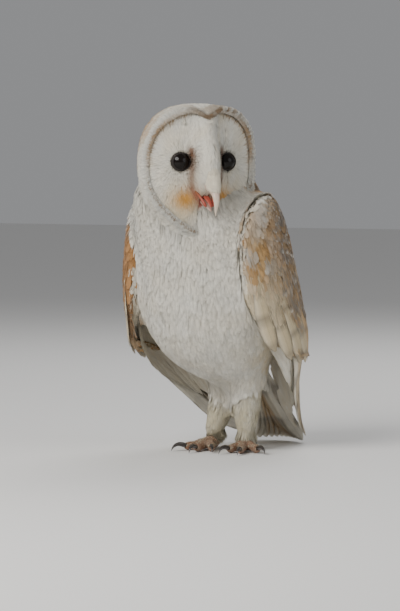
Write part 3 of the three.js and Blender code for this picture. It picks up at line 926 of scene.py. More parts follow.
LID_EDGE = 7.2  # no tufts nearer the eye's middle
MOUTH_HALF, MOUTH_TOP, MOUTH_LOW = 5.2, -18, -37  # nor in the open mouth
SHORT_TUFT, LONG_TUFT, TUFT_SPACING = 2.2, 7.5, 0.92

roots, faces = scattered(head_mask & (share < 1.02) & (hf > 2), TUFT_SPACING)
x, _, z = to_head(roots)
near_eye = np.hypot(np.abs(x) - EYE_ACROSS, z - EYE_UP)
in_mouth = (np.abs(x) < MOUTH_HALF) & (z < MOUTH_TOP) & (z > MOUTH_LOW)
keep = (near_eye > LID_EDGE) & ~in_mouth
roots, faces = roots[keep], faces[keep]
length = mix(SHORT_TUFT, LONG_TUFT, ramp(near_eye[keep], LID_EDGE, 17))
disc = grow(roots, faces, length, 0.52, 1.5, FINE, spread=0.16, thick=0.14, root_share=0.05)
disc_tint = varied(face_tint(roots + 0.6 * length[:, None] * face_flow[faces]), 0.05)

# bristly feathers of the ridge that hang over the base of the bill
BRISTLES = 700
across = rng.uniform(-1.0, 1.0, BRISTLES)
start_z = rng.uniform(-13.0, 2.0, BRISTLES)
end_z = -14.5 - 5.5 * np.sqrt(1 - across**2) + rng.normal(0, 0.9, BRISTLES)
bristle_roots, _ = nearest_on_skin(from_head(6.2 * across, 38, start_z))
root_x, root_f, root_z = to_head(bristle_roots)


def over_bill(t):
    bulge = 2.2 * math.sin(math.pi * t) * (1 - 0.6 * across**2)
    front = mix(root_f, 42.0 - 7.5 * across**2, t) + bulge
    return from_head(mix(root_x, 6.6 * across, t), front, mix(root_z, end_z, t))


facing = unit(HEAD_FRONT + 0.8 * across[:, None] * HEAD_LEFT)[:, None]
width = rng.uniform(0.4, 0.75, BRISTLES)
bristles = vanes_along(stacked(over_bill), facing, width, 0.5, FINE, thick=0.13, roll=0.2)
bristle_tint = varied(plain(mix(WHITE, CREAM, 0.4), bristle_roots), 0.06)
groups = [(disc, disc_tint, face_map(roots)), (bristles, bristle_tint, face_map(bristle_roots))]
coat_piece("plumage_face", groups, DOWN, "face_plumage")

# ---- The skull ----

roots, faces = scattered(head_mask & ~face_inside, 1.5)
tint, gold = skull_tint(roots)
skull = grow(roots, faces, 9.0, 1.45, 3.0, ROUND, spread=0.14)
spots = chance_of(0.16, roots) * ramp(gold, 0.5, 0.9)
tints = veiled(skull, varied(tint), spots, 0.65 * gold * patches(roots, 8, 22))
coat_piece("plumage_head", [(skull, tints, skull_map(roots))], PLUME, "face_plumage")

# ---- The ruff of short stiff feathers round the disc ----


def rim_places(angle, ring):
    """Places near the rim: x, z, how far forward the rim is, and the way out of the disc."""
    across, over = np.cos(angle), np.sin(angle)
    x, z = heart_radius(angle) * ring * np.stack([across, over])
    return x, z, rim_forward(across, over), unit(x[:, None] * HEAD_LEFT + z[:, None] * UP)


def brow(x, z):
    """How dark the rim is over the eyes, more over the left one."""
    return bell(x - 12, 24) * ramp(z, 34, 42)


RUFF = 4600
angle = rng.uniform(0, 2 * math.pi, RUFF)
ring = rng.uniform(0.925, 0.995, RUFF)
x, z, rim, outwards = rim_places(angle, ring)
notch = bell(np.arctan2(x, z), math.radians(16)) * (z > 0)
reach = mix(2.8, 1.6, notch) * rng.uniform(0.8, 1.15, RUFF)


def over_rim(t):
    front = rim - 1.2 + 1.3 * math.sin(2.4 * t) + 9 * (ring - 0.96) * (1 - t) - mix(3.2, 5.0, notch) * t * t
    return from_head(x, front, z) + (reach * math.sin(0.5 * math.pi * t))[:, None] * outwards


path_n = stacked(lambda t: unit(HEAD_FRONT * (1 - 0.75 * t) + outwards * (0.1 + t)))
path = stacked(over_rim) + rng.normal(0, 0.35, (RUFF, 1, 1)) * path_n
ruff = vanes_along(path, path_n, rng.uniform(0.65, 0.95, RUFF), 0.3, BROAD, thick=0.13, roll=0.1)
band = ramp(z, -8, 16) * bell(ring - 0.94, 0.022) * (1 - 0.6 * ramp(z, 30, 42))
speckle = ramp(ring, 0.93, 0.955) * patches(path[:, 0], 6, 21, -0.7, 0.2)
tint = painted(
    WHITE,
    (mix(GOLD, BROWN, 0.1), 0.85 * band),
    (mix(BROWN, GOLD, 0.35), 0.9 * brow(x, z) * speckle),
    (mix(BROWN, GOLD, 0.4), 0.75 * ramp(-z, 0, 18) * bell(ring - 0.955, 0.013)),
    (mix(BROWN, GOLD, 0.25), 0.85 * notch),
)
coat_piece("plumage_ruff", [(ruff, varied(tint), skull_map(path[:, 0]))], PLUME, "face_plumage")

# ---- The collar: the feathers behind the ruff, from its height down to the skull's coat ----

COLLAR = 2600
angle = rng.uniform(0, 2 * math.pi, COLLAR)
x, z, rim, outwards = rim_places(angle, rng.uniform(0.975, 1.0, (2, COLLAR)))
start_at = from_head(x, rim - 1.0 - 3.0 * rng.random(COLLAR), z) + 2.0 * outwards
end_at = start_at - rng.uniform(5.5, 13, COLLAR)[:, None] * HEAD_FRONT + rng.normal(0, 0.9, (COLLAR, 3))
end_at, faces = nearest_on_skin(end_at)
end_at = end_at + 3.1 * face_n[faces]
path = stacked(lambda t: mix(start_at, end_at, t) + 0.9 * math.sin(math.pi * t) * outwards)
path_n = unit(stacked(lambda t: mix(outwards + 0.4 * HEAD_FRONT, face_n[faces], t)))
collar = vanes_along(path, path_n, rng.uniform(0.9, 1.3, COLLAR), 0.25, BROAD, thick=0.14, roll=0.1)
tint = painted(skull_tint(end_at)[0], (mix(BROWN, GOLD, 0.4), 0.6 * brow(x, z)))
coat_piece("plumage_collar", [(collar, varied(tint), skull_map(path[:, 0]))], PLUME, "face_plumage")

# ---- Neck and trunk: broad vanes, then finer ones over them ----

NECK_FROM, TRUNK_TO = 188, 192  # heights: the two coats overlap between them
BESIDE_WING, MANTLE_ROOTS = 3.5, 12  # how near a wing the coat stops, and how far the mantle's roots reach
BACK_TURN, MANTLE_TURN = math.radians(100), math.radians(62)  # from straight in front
wing_trees = [tree_of(*node_arrays(f"wing_{side}")) for side in SIDES]
near_wing = np.array([min(tree.find_nearest(p)[3] for tree in wing_trees) for p in skin_v.tolist()])
beside_wing = (near_wing < BESIDE_WING) & (local[:, 2] > 120)
high_up, from_front = local[:, 2], np.abs(body_map(skin_v)[:, 0])
behind = from_front > BACK_TURN


def lowness(p):
    """0 at the neck, 1 low on the body."""
    return ramp(SHIFT[2] - p[:, 2], -215, -120)


def coat_height(base, p, faces):
    """The coat's depth with gentle swells."""
    return (base + 0.08 * wobble(p * [1, 1, 0.5], 22, 25)) * face_depth[faces]


def body_coat(name, zone, spacing, unwrap, kind, fleck_share=0.0):
    """The coat of one part of the body, with dark flecks on a few of its vanes."""
    zone = zone & body_zone & ~beside_wing
    roots, faces = scattered(zone, spacing)
    tint, gold = body_tint(roots)
    low, rise = lowness(roots), coat_height(0.99, roots, faces)
    form = dict(root_share=0.06, roll=0.03, camber=0.06)
    vanes = grow(roots, faces, mix(15.0, 25.0, low), mix(1.5, 2.2, low), rise, kind, 0.1, even=0.98, **form)
    spots = chance_of(0.2, roots) * ramp(gold, 0.5, 0.9)
    flecks = chance_of(fleck_share, roots) * (1 - gold)
    tint = varied(tint, 0.05)
    tints = veiled(vanes, tint, np.maximum(spots, 0.6 * flecks), 0.7 * gold * patches(roots, 9, 23))
    fine_roots, faces = scattered(zone, 1.1 * spacing)
    fine_tint, gold = body_tint(fine_roots)
    low, rise = lowness(fine_roots), coat_height(1.03, fine_roots, faces)
    form = dict(root_share=0.12, thick=0.1, roll=0.1)
    fray = grow(fine_roots, faces, mix(12.0, 20.0, low), 0.5, rise, FINE, 0.14, even=0.97, **form)
    fine_tint = varied(painted(fine_tint, (GREY, 0.5 * gold)), 0.05)
    groups = [(vanes, tints, unwrap(roots)), (fray, fine_tint, unwrap(fine_roots))]
    coat_piece(name, groups, PLUME, "white_plumage")


body_coat("plumage_neck", high_up > NECK_FROM, 1.9, body_map, BROAD)
body_coat("plumage_breast", (high_up <= TRUNK_TO) & ~behind, 2.2, body_map, BROAD, fleck_share=0.003)
body_coat("plumage_back", (high_up <= TRUNK_TO) & behind, 2.7, back_map, ROUND)

# ---- The mantle: feathers of the neck and back that lie over the wings' upper and back edges ----

near_enough = (near_wing > BESIDE_WING) & (near_wing < MANTLE_ROOTS)
edge_zone = near_enough & (high_up > 110) & (from_front > MANTLE_TURN)
roots, faces = scattered(body_zone & edge_zone, 1.6)
tint, gold = body_tint(roots)
outwards = np.sign(roots[:, :1] - SHIFT[0]) * [[1.0, 0.0, 0.0]]
high = ramp(roots[:, 2] - SHIFT[2], 150, 215)[:, None]
aim = unit(face_flow[faces] + mix(0.35, 0.8, high) * outwards)
aim = tangent(aim + rng.normal(0, 0.16, aim.shape), face_n[faces])
reach = rng.uniform(0.7, 1.15, len(roots)) * mix(15.0, 19.0, high[:, 0])
ends, end_faces = nearest_on_skin(roots + reach[:, None] * aim)


def over_chord(t):
    """A place of the straight line to the end, or the skin where the line sinks below it."""
    chord = mix(roots, ends, t)
    near, near_faces = nearest_on_skin(chord)
    return np.where(dot(chord - near, face_n[near_faces]) < 0, near, chord)


path_n = stacked(lambda t: unit(mix(face_n[faces], face_n[end_faces], 0.6 + 0.4 * t)))
width = mix(1.3, 1.9, gold) * rng.uniform(0.85, 1.15, len(roots))
rise = rng.uniform(3.0, 3.5, len(roots))
mantle = vanes_along(stacked(over_chord), path_n, width, rise, BROAD, root_share=0.8, roll=0.05)
spots = 0.8 * chance_of(0.2, roots) * ramp(gold, 0.5, 0.9)
tints = veiled(mantle, varied(tint, 0.06), spots, 0.7 * gold * patches(roots, 9, 23))
wing_end = np.zeros_like(tint)
for side, sign in SIDES.items():
    there = (ends[:, 0] - SHIFT[0]) * sign > 0
    s = wing_share(ends[there])
    wing_end[there] = wing_tint(ends[there], side, s, wing_across(side, ends[there], s))
tints = mix(tints, varied(wing_end)[:, None], 0.8 * ramp(mantle["local"][:, 1], 0.2, 0.85)[None, :, None])
coat_piece("plumage_mantle", [(mantle, tints, back_map(roots))], PLUME, "golden_plumage")

# ---- Legs, with sparse bristles on the toes ----

roots, faces = scattered(leg_zone, 1.3)
grade = ramp(roots[:, 2], 12, 70)
tint = painted(LEG_CREAM, (WHITE, 0.5 * grade + 0.3 * wobble(roots, 14, 31)))
form = dict(spread=0.2, root_share=0.08, roll=0.12)
down = grow(roots, faces, mix(8.0, 11.0, grade), mix(0.6, 1.1, grade), 0.98 * face_depth[faces], **form)

# longer ones hang from the ankle over the foot
cuff_roots, _ = scattered(leg_zone & (skin_v[:, 2] < 19), 1.15)
leg_side = np.where(cuff_roots[:, :1] > SHIFT[0], 1, -1)
outwards = unit((cuff_roots - SHIFT - leg_side * [[LEG_ACROSS, 0, 0]]) * [1, 1, 0])
path = stacked(lambda t: cuff_roots + t * (outwards * 3.2 * t - UP * 9)) + outwards[:, None] * 1.2
width = rng.uniform(0.5, 0.9, len(cuff_roots))
cuffs = vanes_along(path, outwards[:, None], width, 0.6, FINE, roll=0.2)
cuff_tint = varied(plain(mix(LEG_CREAM, WHITE, 0.25), cuff_roots))

toe_roots, faces = scattered(foot_mask & (skin_v[:, 2] > 4.5), 2.0)
bristles = grow(toe_roots, faces, 2.8, 0.2, 0.7, FINE, spread=0.2, thick=0.1, root_share=0.1)
bristle_tint = varied(plain(LEG_CREAM, toe_roots))
groups = [
    (down, varied(tint), leg_map(roots)),
    (bristles, bristle_tint, leg_map(toe_roots)),
    (cuffs, cuff_tint, leg_map(cuff_roots)),
]
coat_piece("plumage_legs", groups, PLUME, "leg_plumage")

# ---- Wings: coverts in rows over the arm, and small feathers round it ----


def shoulder_lie(side, s, faces):
    """The lie of the wing's feathers, which run outwards and down over its upper end."""
    over = unit(np.array([SIDES[side] * 1.0, -0.15, -0.45]))
    return unit(mix(face_flow[faces], over, (1 - ramp(s, 0.05, 0.2))[:, None]))


def wing_map(across, s):
    return np.stack([across, s * 1.4], 1)


def upper_part(across):
    """1 over the back of the wing, 0 on its front edge."""
    return 1 - ramp(across, 0.45, 0.62)


COVERT_ROWS, FIRST_ROW, LAST_ROW = 34, 0.025, 0.74
ARM_AROUND, UPPER_SPACING, LOWER_SPACING = 112, 2.9, 6.0


def covert_places(side):
    """Guessed roots in staggered rows, each row longer and wider than the one above."""
    found = []
    for r in range(COVERT_ROWS):
        s = mix(FIRST_ROW, LAST_ROW, (r / (COVERT_ROWS - 1)) ** 1.08)
        grown = float(ramp(s, 0.03, 0.55))
        count = int(ARM_AROUND / mix(UPPER_SPACING, LOWER_SPACING, grown))
        across = (np.arange(count) + 0.5 * (r % 2) + rng.uniform(-0.16, 0.16, count)) / count * 2 - 1
        across = across[(np.abs(across) < 0.99) & (s < cover_end(across) - 0.03)]
        guess = wing_point(side, s + rng.normal(0, 0.004, len(across)), across, 3.0)
        found.append((guess, np.full(len(across), grown), np.full(len(across), s), across))
    return (np.concatenate(column) for column in zip(*found))


def wing_coverts(side):
    guess, size, s, across = covert_places(side)
    roots, faces = nearest_on_skin(guess)
    form = dict(spread=0.06, root_share=0.15, thick=0.2, aim=shoulder_lie(side, s, faces))
    vanes = grow(roots, faces, mix(9.0, 24.0, size), mix(2.0, 4.3, size), 2.6, ROUND, **form)
    tint = varied(wing_tint(roots, side, s, across), 0.08)
    above = upper_part(across)
    veil = (0.25 + 0.6 * patches(roots, 11, 24, -0.6, 0.5)) * above + 0.05
    return vanes, veiled(vanes, tint, 0.85 * chance_of(0.26, roots) * above, veil), wing_map(across, s)


def wing_fray(side, count=3800):
    """Fine barbs that fray the coverts' edges."""
    guess = wing_point(side, mix(0.03, 0.66, rng.random(count) ** 0.9), rng.uniform(-0.97, 0.97, count), 3.0)
    roots, faces = nearest_on_skin(guess)
    s = wing_share(roots)
    across = wing_across(side, roots, s)
    form = dict(spread=0.1, thick=0.12, aim=shoulder_lie(side, s, faces))
    vanes = grow(roots, faces, mix(7.0, 17.0, ramp(s, 0.03, 0.55)), 0.5, 3.1, FINE, **form)
    grey = (0.2 + 0.6 * patches(roots, 11, 24, -0.6, 0.5)) * upper_part(across)
    return vanes, painted(wing_tint(roots, side, s, across), (GREY * 1.15, grey)), wing_map(across, s)


def wing_lining(side, count=420):
    """White feathers of the under side that lie over the roots of the flight feathers."""
    across = rng.uniform(-0.95, 0.9, count)
    start = cover_end(across) + rng.uniform(-0.14, 0.02, count)

    def below(t):
        out = mix(-7.0, -4.4, t) - 1.5 * t * (1 - t)
        return wing_point(side, start + 0.13 * t, across * (1 - 0.15 * t), out)

    inward = unit(wing_point(side, start, across, -9.0) - wing_point(side, start, across, 0.0))
    width = rng.uniform(1.8, 2.8, count)
    vanes = vanes_along(stacked(below), inward[:, None], width, 0.8, ROUND, thick=0.18)
    return vanes, painted(WHITE, (CREAM, rng.uniform(0.05, 0.35, count))), wing_map(across + 2.1, start)


def wing_edges(side):
    """Small feathers on the front edge, the upper end and the under side."""
    roots, faces = scattered(region == WINGS[side], 2.3)
    s = wing_share(roots)
    across = wing_across(side, roots, s)
    inner = wing_point(side, s, 0.0, -60.0)
    outer = dot(face_n[faces], unit(roots - inner))[:, 0] > 0.2
    outer &= (face_n[faces][:, 2] > -0.35) | (s < 0.5)
    keep = ~outer | (np.abs(across) > 0.75) | (s < 0.06)
    roots, faces, s, across, outer = (values[keep] for values in (roots, faces, s, across, outer))
    aim = shoulder_lie(side, s, faces)
    vanes = grow(roots, faces, mix(7.0, 13.0, ramp(s, 0.05, 0.5)), 1.9, 1.9, aim=aim, root_share=0.1)
    lining = painted(WHITE, (CREAM, 0.3 + 0.2 * wobble(roots, 15, 41)))
    tint = np.where(outer[:, None], wing_tint(roots, side, s, across), lining)
    return vanes, tint, wing_map(across + 2.1, s)


def wing_coat(side):
    coverts = wing_coverts(side)
    fray, fray_tint, fray_map = wing_fray(side)
    lining = wing_lining(side)
    small, small_tint, small_map = wing_edges(side)
    groups = [coverts, (fray, varied(fray_tint), fray_map), (small, varied(small_tint), small_map), lining]
    coat_piece(f"plumage_wing_{side}", groups, PLUME, "golden_plumage")


# ---- Long feathers of the wings and the tail ----

AROUND = 8  # vertices of a long feather's section, the last three on its under side
LOWEST_FEATHER = 0.3


def long_feather(path, side_dir, normal, half, camber=0.12, thick=0.35):
    """A closed vane along a path, with a shaft raised along its middle. Arrays of one feather."""
    rings = len(path)
    along = np.linspace(0, 1, rings)
    width = half * np.interp(along, [0, 0.12, 0.55, 0.82, 0.94, 1.0], [0.25, 0.72, 1.0, 0.92, 0.6, 0.12])
    across = np.array([-1.0, -0.5, 0.0, 0.5, 1.0, 0.5, 0.0, -0.5])
    lift = np.array([0.0, 0.6, 1.25, 0.6, 0.0, -0.35, -0.5, -0.35])
    offset = (width[:, None] * across[None])[..., None]
    height = (thick * lift[None] - camber * width[:, None] * (across[None] ** 2))[..., None]
    verts = (path[:, None] + side_dir[:, None] * offset + normal[:, None] * height).reshape(-1, 3)
    places = np.stack(np.broadcast_arrays((across + 1) / 2, along[:, None]), -1).reshape(-1, 2)
    first, last = range(AROUND)[::-1], range((rings - 1) * AROUND, rings * AROUND)
    return verts, facing_out(verts, triangulated([first, *wall(rings, AROUND), last])), places


def flight_tint(places, base, tip, bars, phase, pale=0.35, pale_from=0.55, flipped=False):
    """Bars across a long feather, a paler inner vane, a mottled tip and a pale under side."""
    across, along = places.T
    inner = pale * ramp(1 - across if flipped else across, pale_from, 0.95)
    wave = ramp(np.cos(along * bars * 2 * math.pi + phase), 0.45, 0.85)
    bar = 0.62 * wave * (1 - ramp(along, 0.93, 1.0))
    tint = painted(base, (WHITE, inner), (mix(GREY, BROWN, 0.6), bar), (tip, 0.5 * ramp(along, 0.86, 1.0)))
    under = np.arange(len(places)) % AROUND > AROUND - 4
    return np.where(under[:, None], mix(mix(WHITE, GREY, 0.3), tint, 0.2), tint)


def bake_strip(places, i, count):
    """A feather's strip of the bake map, one of count side by side."""
    strip = np.stack([(i + 0.06 + 0.88 * places[:, 0]) / count, 0.02 + 0.96 * places[:, 1]], 1)
    strip[:, 1] += 0.002 * np.sin(np.arange(len(places)) * 2.4)
    return strip


def feather_set(name, feathers, *replaced):
    """Long feathers as one mesh: each is ((vertices, triangles, places), tint)."""
    count = len(feathers)
    parts = [(*form, tint, bake_strip(form[2], i, count)) for i, (form, tint) in enumerate(feathers)]
    verts, tris, places, tint, bake = joined(parts)
    verts[:, 2] = np.maximum(verts[:, 2], LOWEST_FEATHER)
    piece(name, verts, tris, tint, FLIGHT, "golden_plumage", *replaced, OFBake=bake, Vane=places * [1.0, 6.0])


def wing_line(side, root, tip, rings, bow=0.0):
    """A path on the wing from a root to a tip given as (s, across, out), with its side and normal."""
    t = np.linspace(0, 1, rings)
    s, across, out = (mix(root[i], tip[i], t) for i in range(3))
    across = across + bow * np.sin(math.pi * t)
    path = wing_point(side, s, across, out)
    normal = unit(wing_point(side, s, across, out + 1.0) - path)
    along = unit(np.gradient(path, axis=0))
    return path, unit(np.cross(along, normal)) * SIDES[side], normal


def secondaries(side, count=11):
    """Long feathers over the lower edge of the arm."""
    feathers = []
    for i in range(count):
        k = i / (count - 1)
        across = mix(0.9, -0.86, k)
        end = cover_end(across) + 0.012
        line = wing_line(side, (end - 0.27, across * 0.9, 2.4), (end, across, 3.4 + 0.1 * i), 16)
        form = long_feather(*line, 7.4, 0.08, 0.25)
        base = mix(GOLD, CREAM, 0.25) if k > 0.3 else mix(CREAM, GREY, 0.25)
        feathers.append((form, flight_tint(form[2], base, mix(CREAM, GREY, 0.4), 3.2, 0.4 * i)))
    feather_set(f"secondaries_{side}", feathers)


def primaries(side, count=10):
    """Long feathers beyond them, the innermost on top."""
    feathers = []
    for i in range(count):
        k = i / (count - 1)
        across = mix(0.5, -0.6, k)
        root = (cover_end(across) - 0.14, across, -1.6 + 0.28 * i)
        tip = (mix(1.0, 0.9, k), mix(0.35, -0.65, k), -1.2 + 0.26 * i)
        form = long_feather(*wing_line(side, root, tip, 22, bow=0.06), mix(6.6, 8.2, k))
        base = mix(mix(CREAM, GREY, 0.25), GOLD, 0.25 + 0.3 * k) if i else mix(WHITE, CREAM, 0.4)
        feathers.append((form, flight_tint(form[2], base, mix(CREAM, GREY, 0.5), 4.4, 0.7 * i)))
    feather_set(f"flight_{side}", feathers, f"primaries_{side}")


for side in SIDES:
    wing_coat(side)
    secondaries(side)
    primaries(side)


def tail_feather(offset):
    """One of the tail's feathers, by its place from the middle."""
    rank = abs(offset)
    lift = 1.5 - 0.55 * rank
    control = [
        (1.1 * offset, 26, 82 + lift),
        (1.5 * offset, 42, 68 + lift),
        (2.9 * offset, 72, 29 + lift),
        (4.4 * offset, 101 - 0.42 * offset**2, 3.2 + 0.35 * lift),
    ]
    path = curve_through(np.array(control) + SHIFT, np.linspace(0, 1, 24))
    along = unit(np.gradient(path, axis=0))
    side_dir = tangent(plain([1.0, 0.0, 0.0], path), along)
    normal = unit(np.cross(side_dir, along))
    normal *= np.sign(normal[:, 1:2] + 1e-6)
    form = long_feather(path, side_dir, normal, 8.4)
    base = mix(GOLD, CREAM, 0.35) if rank < 4 else mix(CREAM, WHITE, 0.6)
    return form, flight_tint(form[2], base, mix(CREAM, WHITE, 0.4), 4.0, 0.0, 0.75, 0.5, flipped=offset < 0)


feather_set("tail_feathers", [tail_feather(i - 5.5) for i in range(12)], "tail")

# ---- The rump's feathers lie over the tail's root, above and below ----

RUMP = 620
k = rng.random(RUMP)
above = rng.random(RUMP) < 0.6
lift = np.where(above, 3.2, -5.5) + rng.normal(0, 0.4, RUMP)
sideways = rng.uniform(-1, 1, RUMP)


def over_tail(t):
    along = np.clip(mix(-0.1, 0.30, k) + 0.2 * t, 0, 1)
    middle = curve_through([(0, 22, 88), (0, 42, 68), (0, 72, 29), (0, 101, 3)], along)
    across = sideways * mix(8.5, 13.0, along)
    fall = lift * (1 - 0.35 * t) - 0.10 * np.abs(across)
    return middle + SHIFT + across[:, None] * [1, 0, 0] + fall[:, None] * [0, 0.7, 0.7]


facing = unit(np.where(above, 1.0, -1.0)[:, None] * [[0, 0.7, 0.7]])[:, None]
width = rng.uniform(1.8, 2.8, RUMP)
rump = vanes_along(stacked(over_tail), facing, width, 0.5, ROUND, thick=0.18)
tint = varied(np.where(above[:, None], mix(GOLD, CREAM, 0.25), WHITE))
tints = veiled(rump, tint, 0.7 * chance_of(0.15, k) * above, 0.4 * above * rng.random(RUMP))
places = np.stack([sideways + np.where(above, 0, 2.2), k], 1)
coat_piece("plumage_rump", [(rump, tints, places)], PLUME, "golden_plumage")

# ---- Eyes, bill, mouth and claws ----

TOES = {"hind": (172, 18), "inner": (-26, 26), "middle": (0, 31), "outer": (33, 26)}  # turn and length
FOOT_TURN = {"left": 20, "right": -6}
CLAW_LENGTH = 18.0
CLAW_DARK, CLAW_TIP = np.array([0.035, 0.028, 0.025]), np.array([0.11, 0.09, 0.08])
EYE_RINGS, EYE_SEGMENTS, EYE_BULGE = 28, 48, 0.45


def foot_place(side, turn, x, y, z):
    """A point of a toe's own plane: x along the toe, y across it."""
    turn = math.radians(SIDES[side] * (turn + FOOT_TURN[side]) - 90)
    px = x * math.cos(turn) - y * math.sin(turn)
    py = x * math.sin(turn) + y * math.cos(turn)
    return np.array([SIDES[side] * LEG_ACROSS + px, LEG_BACK + py, z]) + SHIFT


def head_points(rows):
    return np.array([from_head(x, f, z) for x, f, z in rows])


def tapering(width, height, thin, low, power=1.5):
    """A shape for a tube, whose end is thin and low shares of its start."""
    return lambda s: (width * mix(1, thin, s**power), height * mix(1, low, s**power))


def elliptical(ca, sa):
    return ca, sa


def sharp_top(ca, sa):
    """A narrow ridge above and a flatter under side."""
    return ca * (1 - 0.35 * np.clip(sa, 0, 1)), np.where(sa > 0, sa * 1.0, sa * 0.8)


def tube(points, around, along, shape, across_dir, profile=elliptical):
    """A closed form along a curve. shape(s) gives its half width and half height."""
    s = (1 - np.cos(np.linspace(0, math.pi, along + 1))) / 2
    path = curve_through(points, s)
    tang = unit(np.gradient(path, axis=0))
    across = tangent(plain(across_dir, s), tang)
    over = np.cross(across, tang)
    ring = np.arange(around)
    turn = ring * 2 * math.pi / around
    ca, sa = profile(np.cos(turn), np.sin(turn))
    verts = [path[0]]
    for r in range(1, along):
        end = math.sqrt(max(0.0, 1 - abs(2 * s[r] - 1) ** 8))
        w, h = shape(s[r])
        verts += list(path[r] + end * (w * ca[:, None] * across[r] + h * sa[:, None] * over[r]))
    verts.append(path[-1])
    after, last = (ring + 1) % around, 1 + (along - 2) * around
    first_cap = [(0, 1 + b, 1 + a) for a, b in zip(ring, after)]
    last_cap = [(last + a, last + b, len(verts) - 1) for a, b in zip(ring, after)]
    return np.array(verts), triangulated([*first_cap, *(wall(along - 1, around) + 1), *last_cap])


def solid_piece(name, form, tint, look, slot, replaced):
    verts, tris = form
    piece(name, verts, facing_out(verts, tris), tint, look, slot, replaced)


def eyeball(side):
    """A sphere with a slight bulge in front."""
    axis = eye_axis(side)
    a1 = unit(np.cross(UP, axis))
    a2 = np.cross(axis, a1)
    verts = []
    for r in range(EYE_RINGS + 1):
        polar = math.pi * r / EYE_RINGS
        radius = EYE_RADIUS + EYE_BULGE * bell(polar, 0.55)
        for k in range(EYE_SEGMENTS):
            turn = 2 * math.pi * k / EYE_SEGMENTS
            direction = axis * math.cos(polar) + math.sin(polar) * (a1 * math.cos(turn) + a2 * math.sin(turn))
            verts.append(eye_centre[side] + radius * direction)
    obj = mesh_object(f"eyeball_{side}", np.array(verts), wall(EYE_RINGS + 1, EYE_SEGMENTS)[:, [0, 3, 2, 1]])
    work = bmesh.new()
    work.from_mesh(obj.data)
    bmesh.ops.remove_doubles(work, verts=work.verts, dist=1e-6)
    bmesh.ops.recalc_face_normals(work, faces=work.faces)
    work.to_mesh(obj.data)
    work.free()
    dress(obj, EYE, "eye", f"eye_{side}")


for side in SIDES:
    eyeball(side)

curve = head_points([(0, 24, -14), (0, 36, -18), (0, 41.5, -27), (0, 39.5, -39.5)])
form = tube(curve, 28, 30, tapering(5.0, 5.6, 0.1, 0.12), HEAD_LEFT, sharp_top)
up_bill = (form[0][:, 2] - form[0][:, 2].min()) / np.ptp(form[0][:, 2])
tint = mix(HORN_PALE, HORN_PINK, ramp(up_bill, 0.35, 0.9)[:, None])
solid_piece("bill_above", form, tint, BILL, "bill_horn", "bill_upper")

curve = head_points([(0, 17, -27), (0, 25.5, -31.5), (0, 31.2, -36)])
form = tube(curve, 24, 22, tapering(4.6, 2.5, 0.12, 0.16), HEAD_LEFT)
# the lower bill is painted darker than the upper one: painted shade under the upper bill
solid_piece("bill_below", form, plain(0.65 * HORN_PINK, form[0]), BILL, "bill_horn", "bill_lower")

# the tongue, and the fleshy corners of the gape
curve = head_points([(0, 19, -23), (0, 27, -27.5), (0, 31.5, -32.5)])
parts = [tube(curve, 16, 16, tapering(2.9, 1.4, 0.2, 0.2), HEAD_LEFT)]
for sign in SIDES.values():
    rows = [(11.5, 19.2, -16.5), (8, 21.3, -21), (5, 24.3, -26.5), (3, 27.6, -32)]
    curve = head_points([(sign * x, f, z) for x, f, z in rows])
    parts.append(tube(curve, 12, 18, lambda s: (0.5 + 0.9 * s, 0.5 + 1.1 * s), HEAD_LEFT))
form = joined(parts)
inside = 1 - ramp(np.abs(to_head(form[0])[0]), 5, 10)[:, None]
solid_piece("mouth", form, mix(RUST * 0.6, GAPE, inside), MOUTH, "mouth_skin", "tongue")


def claw(side, toe):
    """A curved claw from a toe's end down to the floor."""
    turn, length = TOES[toe]
    rows = [(-3.5, 4.6), (0.28 * CLAW_LENGTH, 6.4), (0.58 * CLAW_LENGTH, 4.6), (0.72 * CLAW_LENGTH, 0.9)]
    points = np.array([foot_place(side, turn, length + x, 0, z) for x, z in rows])
    sideways = foot_place(side, turn, 0, 1, 0) - foot_place(side, turn, 0, 0, 0)
    verts, tris = tube(points, 16, 22, tapering(2.1, 2.45, 0.07, 0.09, 1.4), sideways, sharp_top)
    verts[:, 2] = np.maximum(verts[:, 2], LOWEST_VANE)
    reach = np.clip((verts - points[0]) @ unit(points[-1] - points[0]) / 20, 0, 1)
    tint = mix(CLAW_DARK, CLAW_TIP, ramp(reach, 0.7, 1.0)[:, None])
    solid_piece(f"talon_{side}_{toe}", (verts, tris), tint, CLAW, "claw_horn", f"claw_{side}_{toe}")


for side in SIDES:
    for toe in TOES:
        claw(side, toe)

# ---- The skin's mesh, with the lids in it ----

# heights along the eye's axis, and radii
LID = [(5.6, 6.6), (6.3, 6.45), (6.6, 6.65), (6.4, 6.95), (5.8, 7.25), (4.8, 7.7), (3.4, 8.0), (4.2, 7.2)]
LID_AROUND, LID_CORNER = 56, math.radians(148)
LID_DARK = np.array([0.018, 0.012, 0.01])
GAPE_SKIN = np.array([0.45, 0.10, 0.07])
SCUTE_DARK, SCUTE_PALE = np.array([0.42, 0.22, 0.13]), np.array([0.55, 0.38, 0.27])


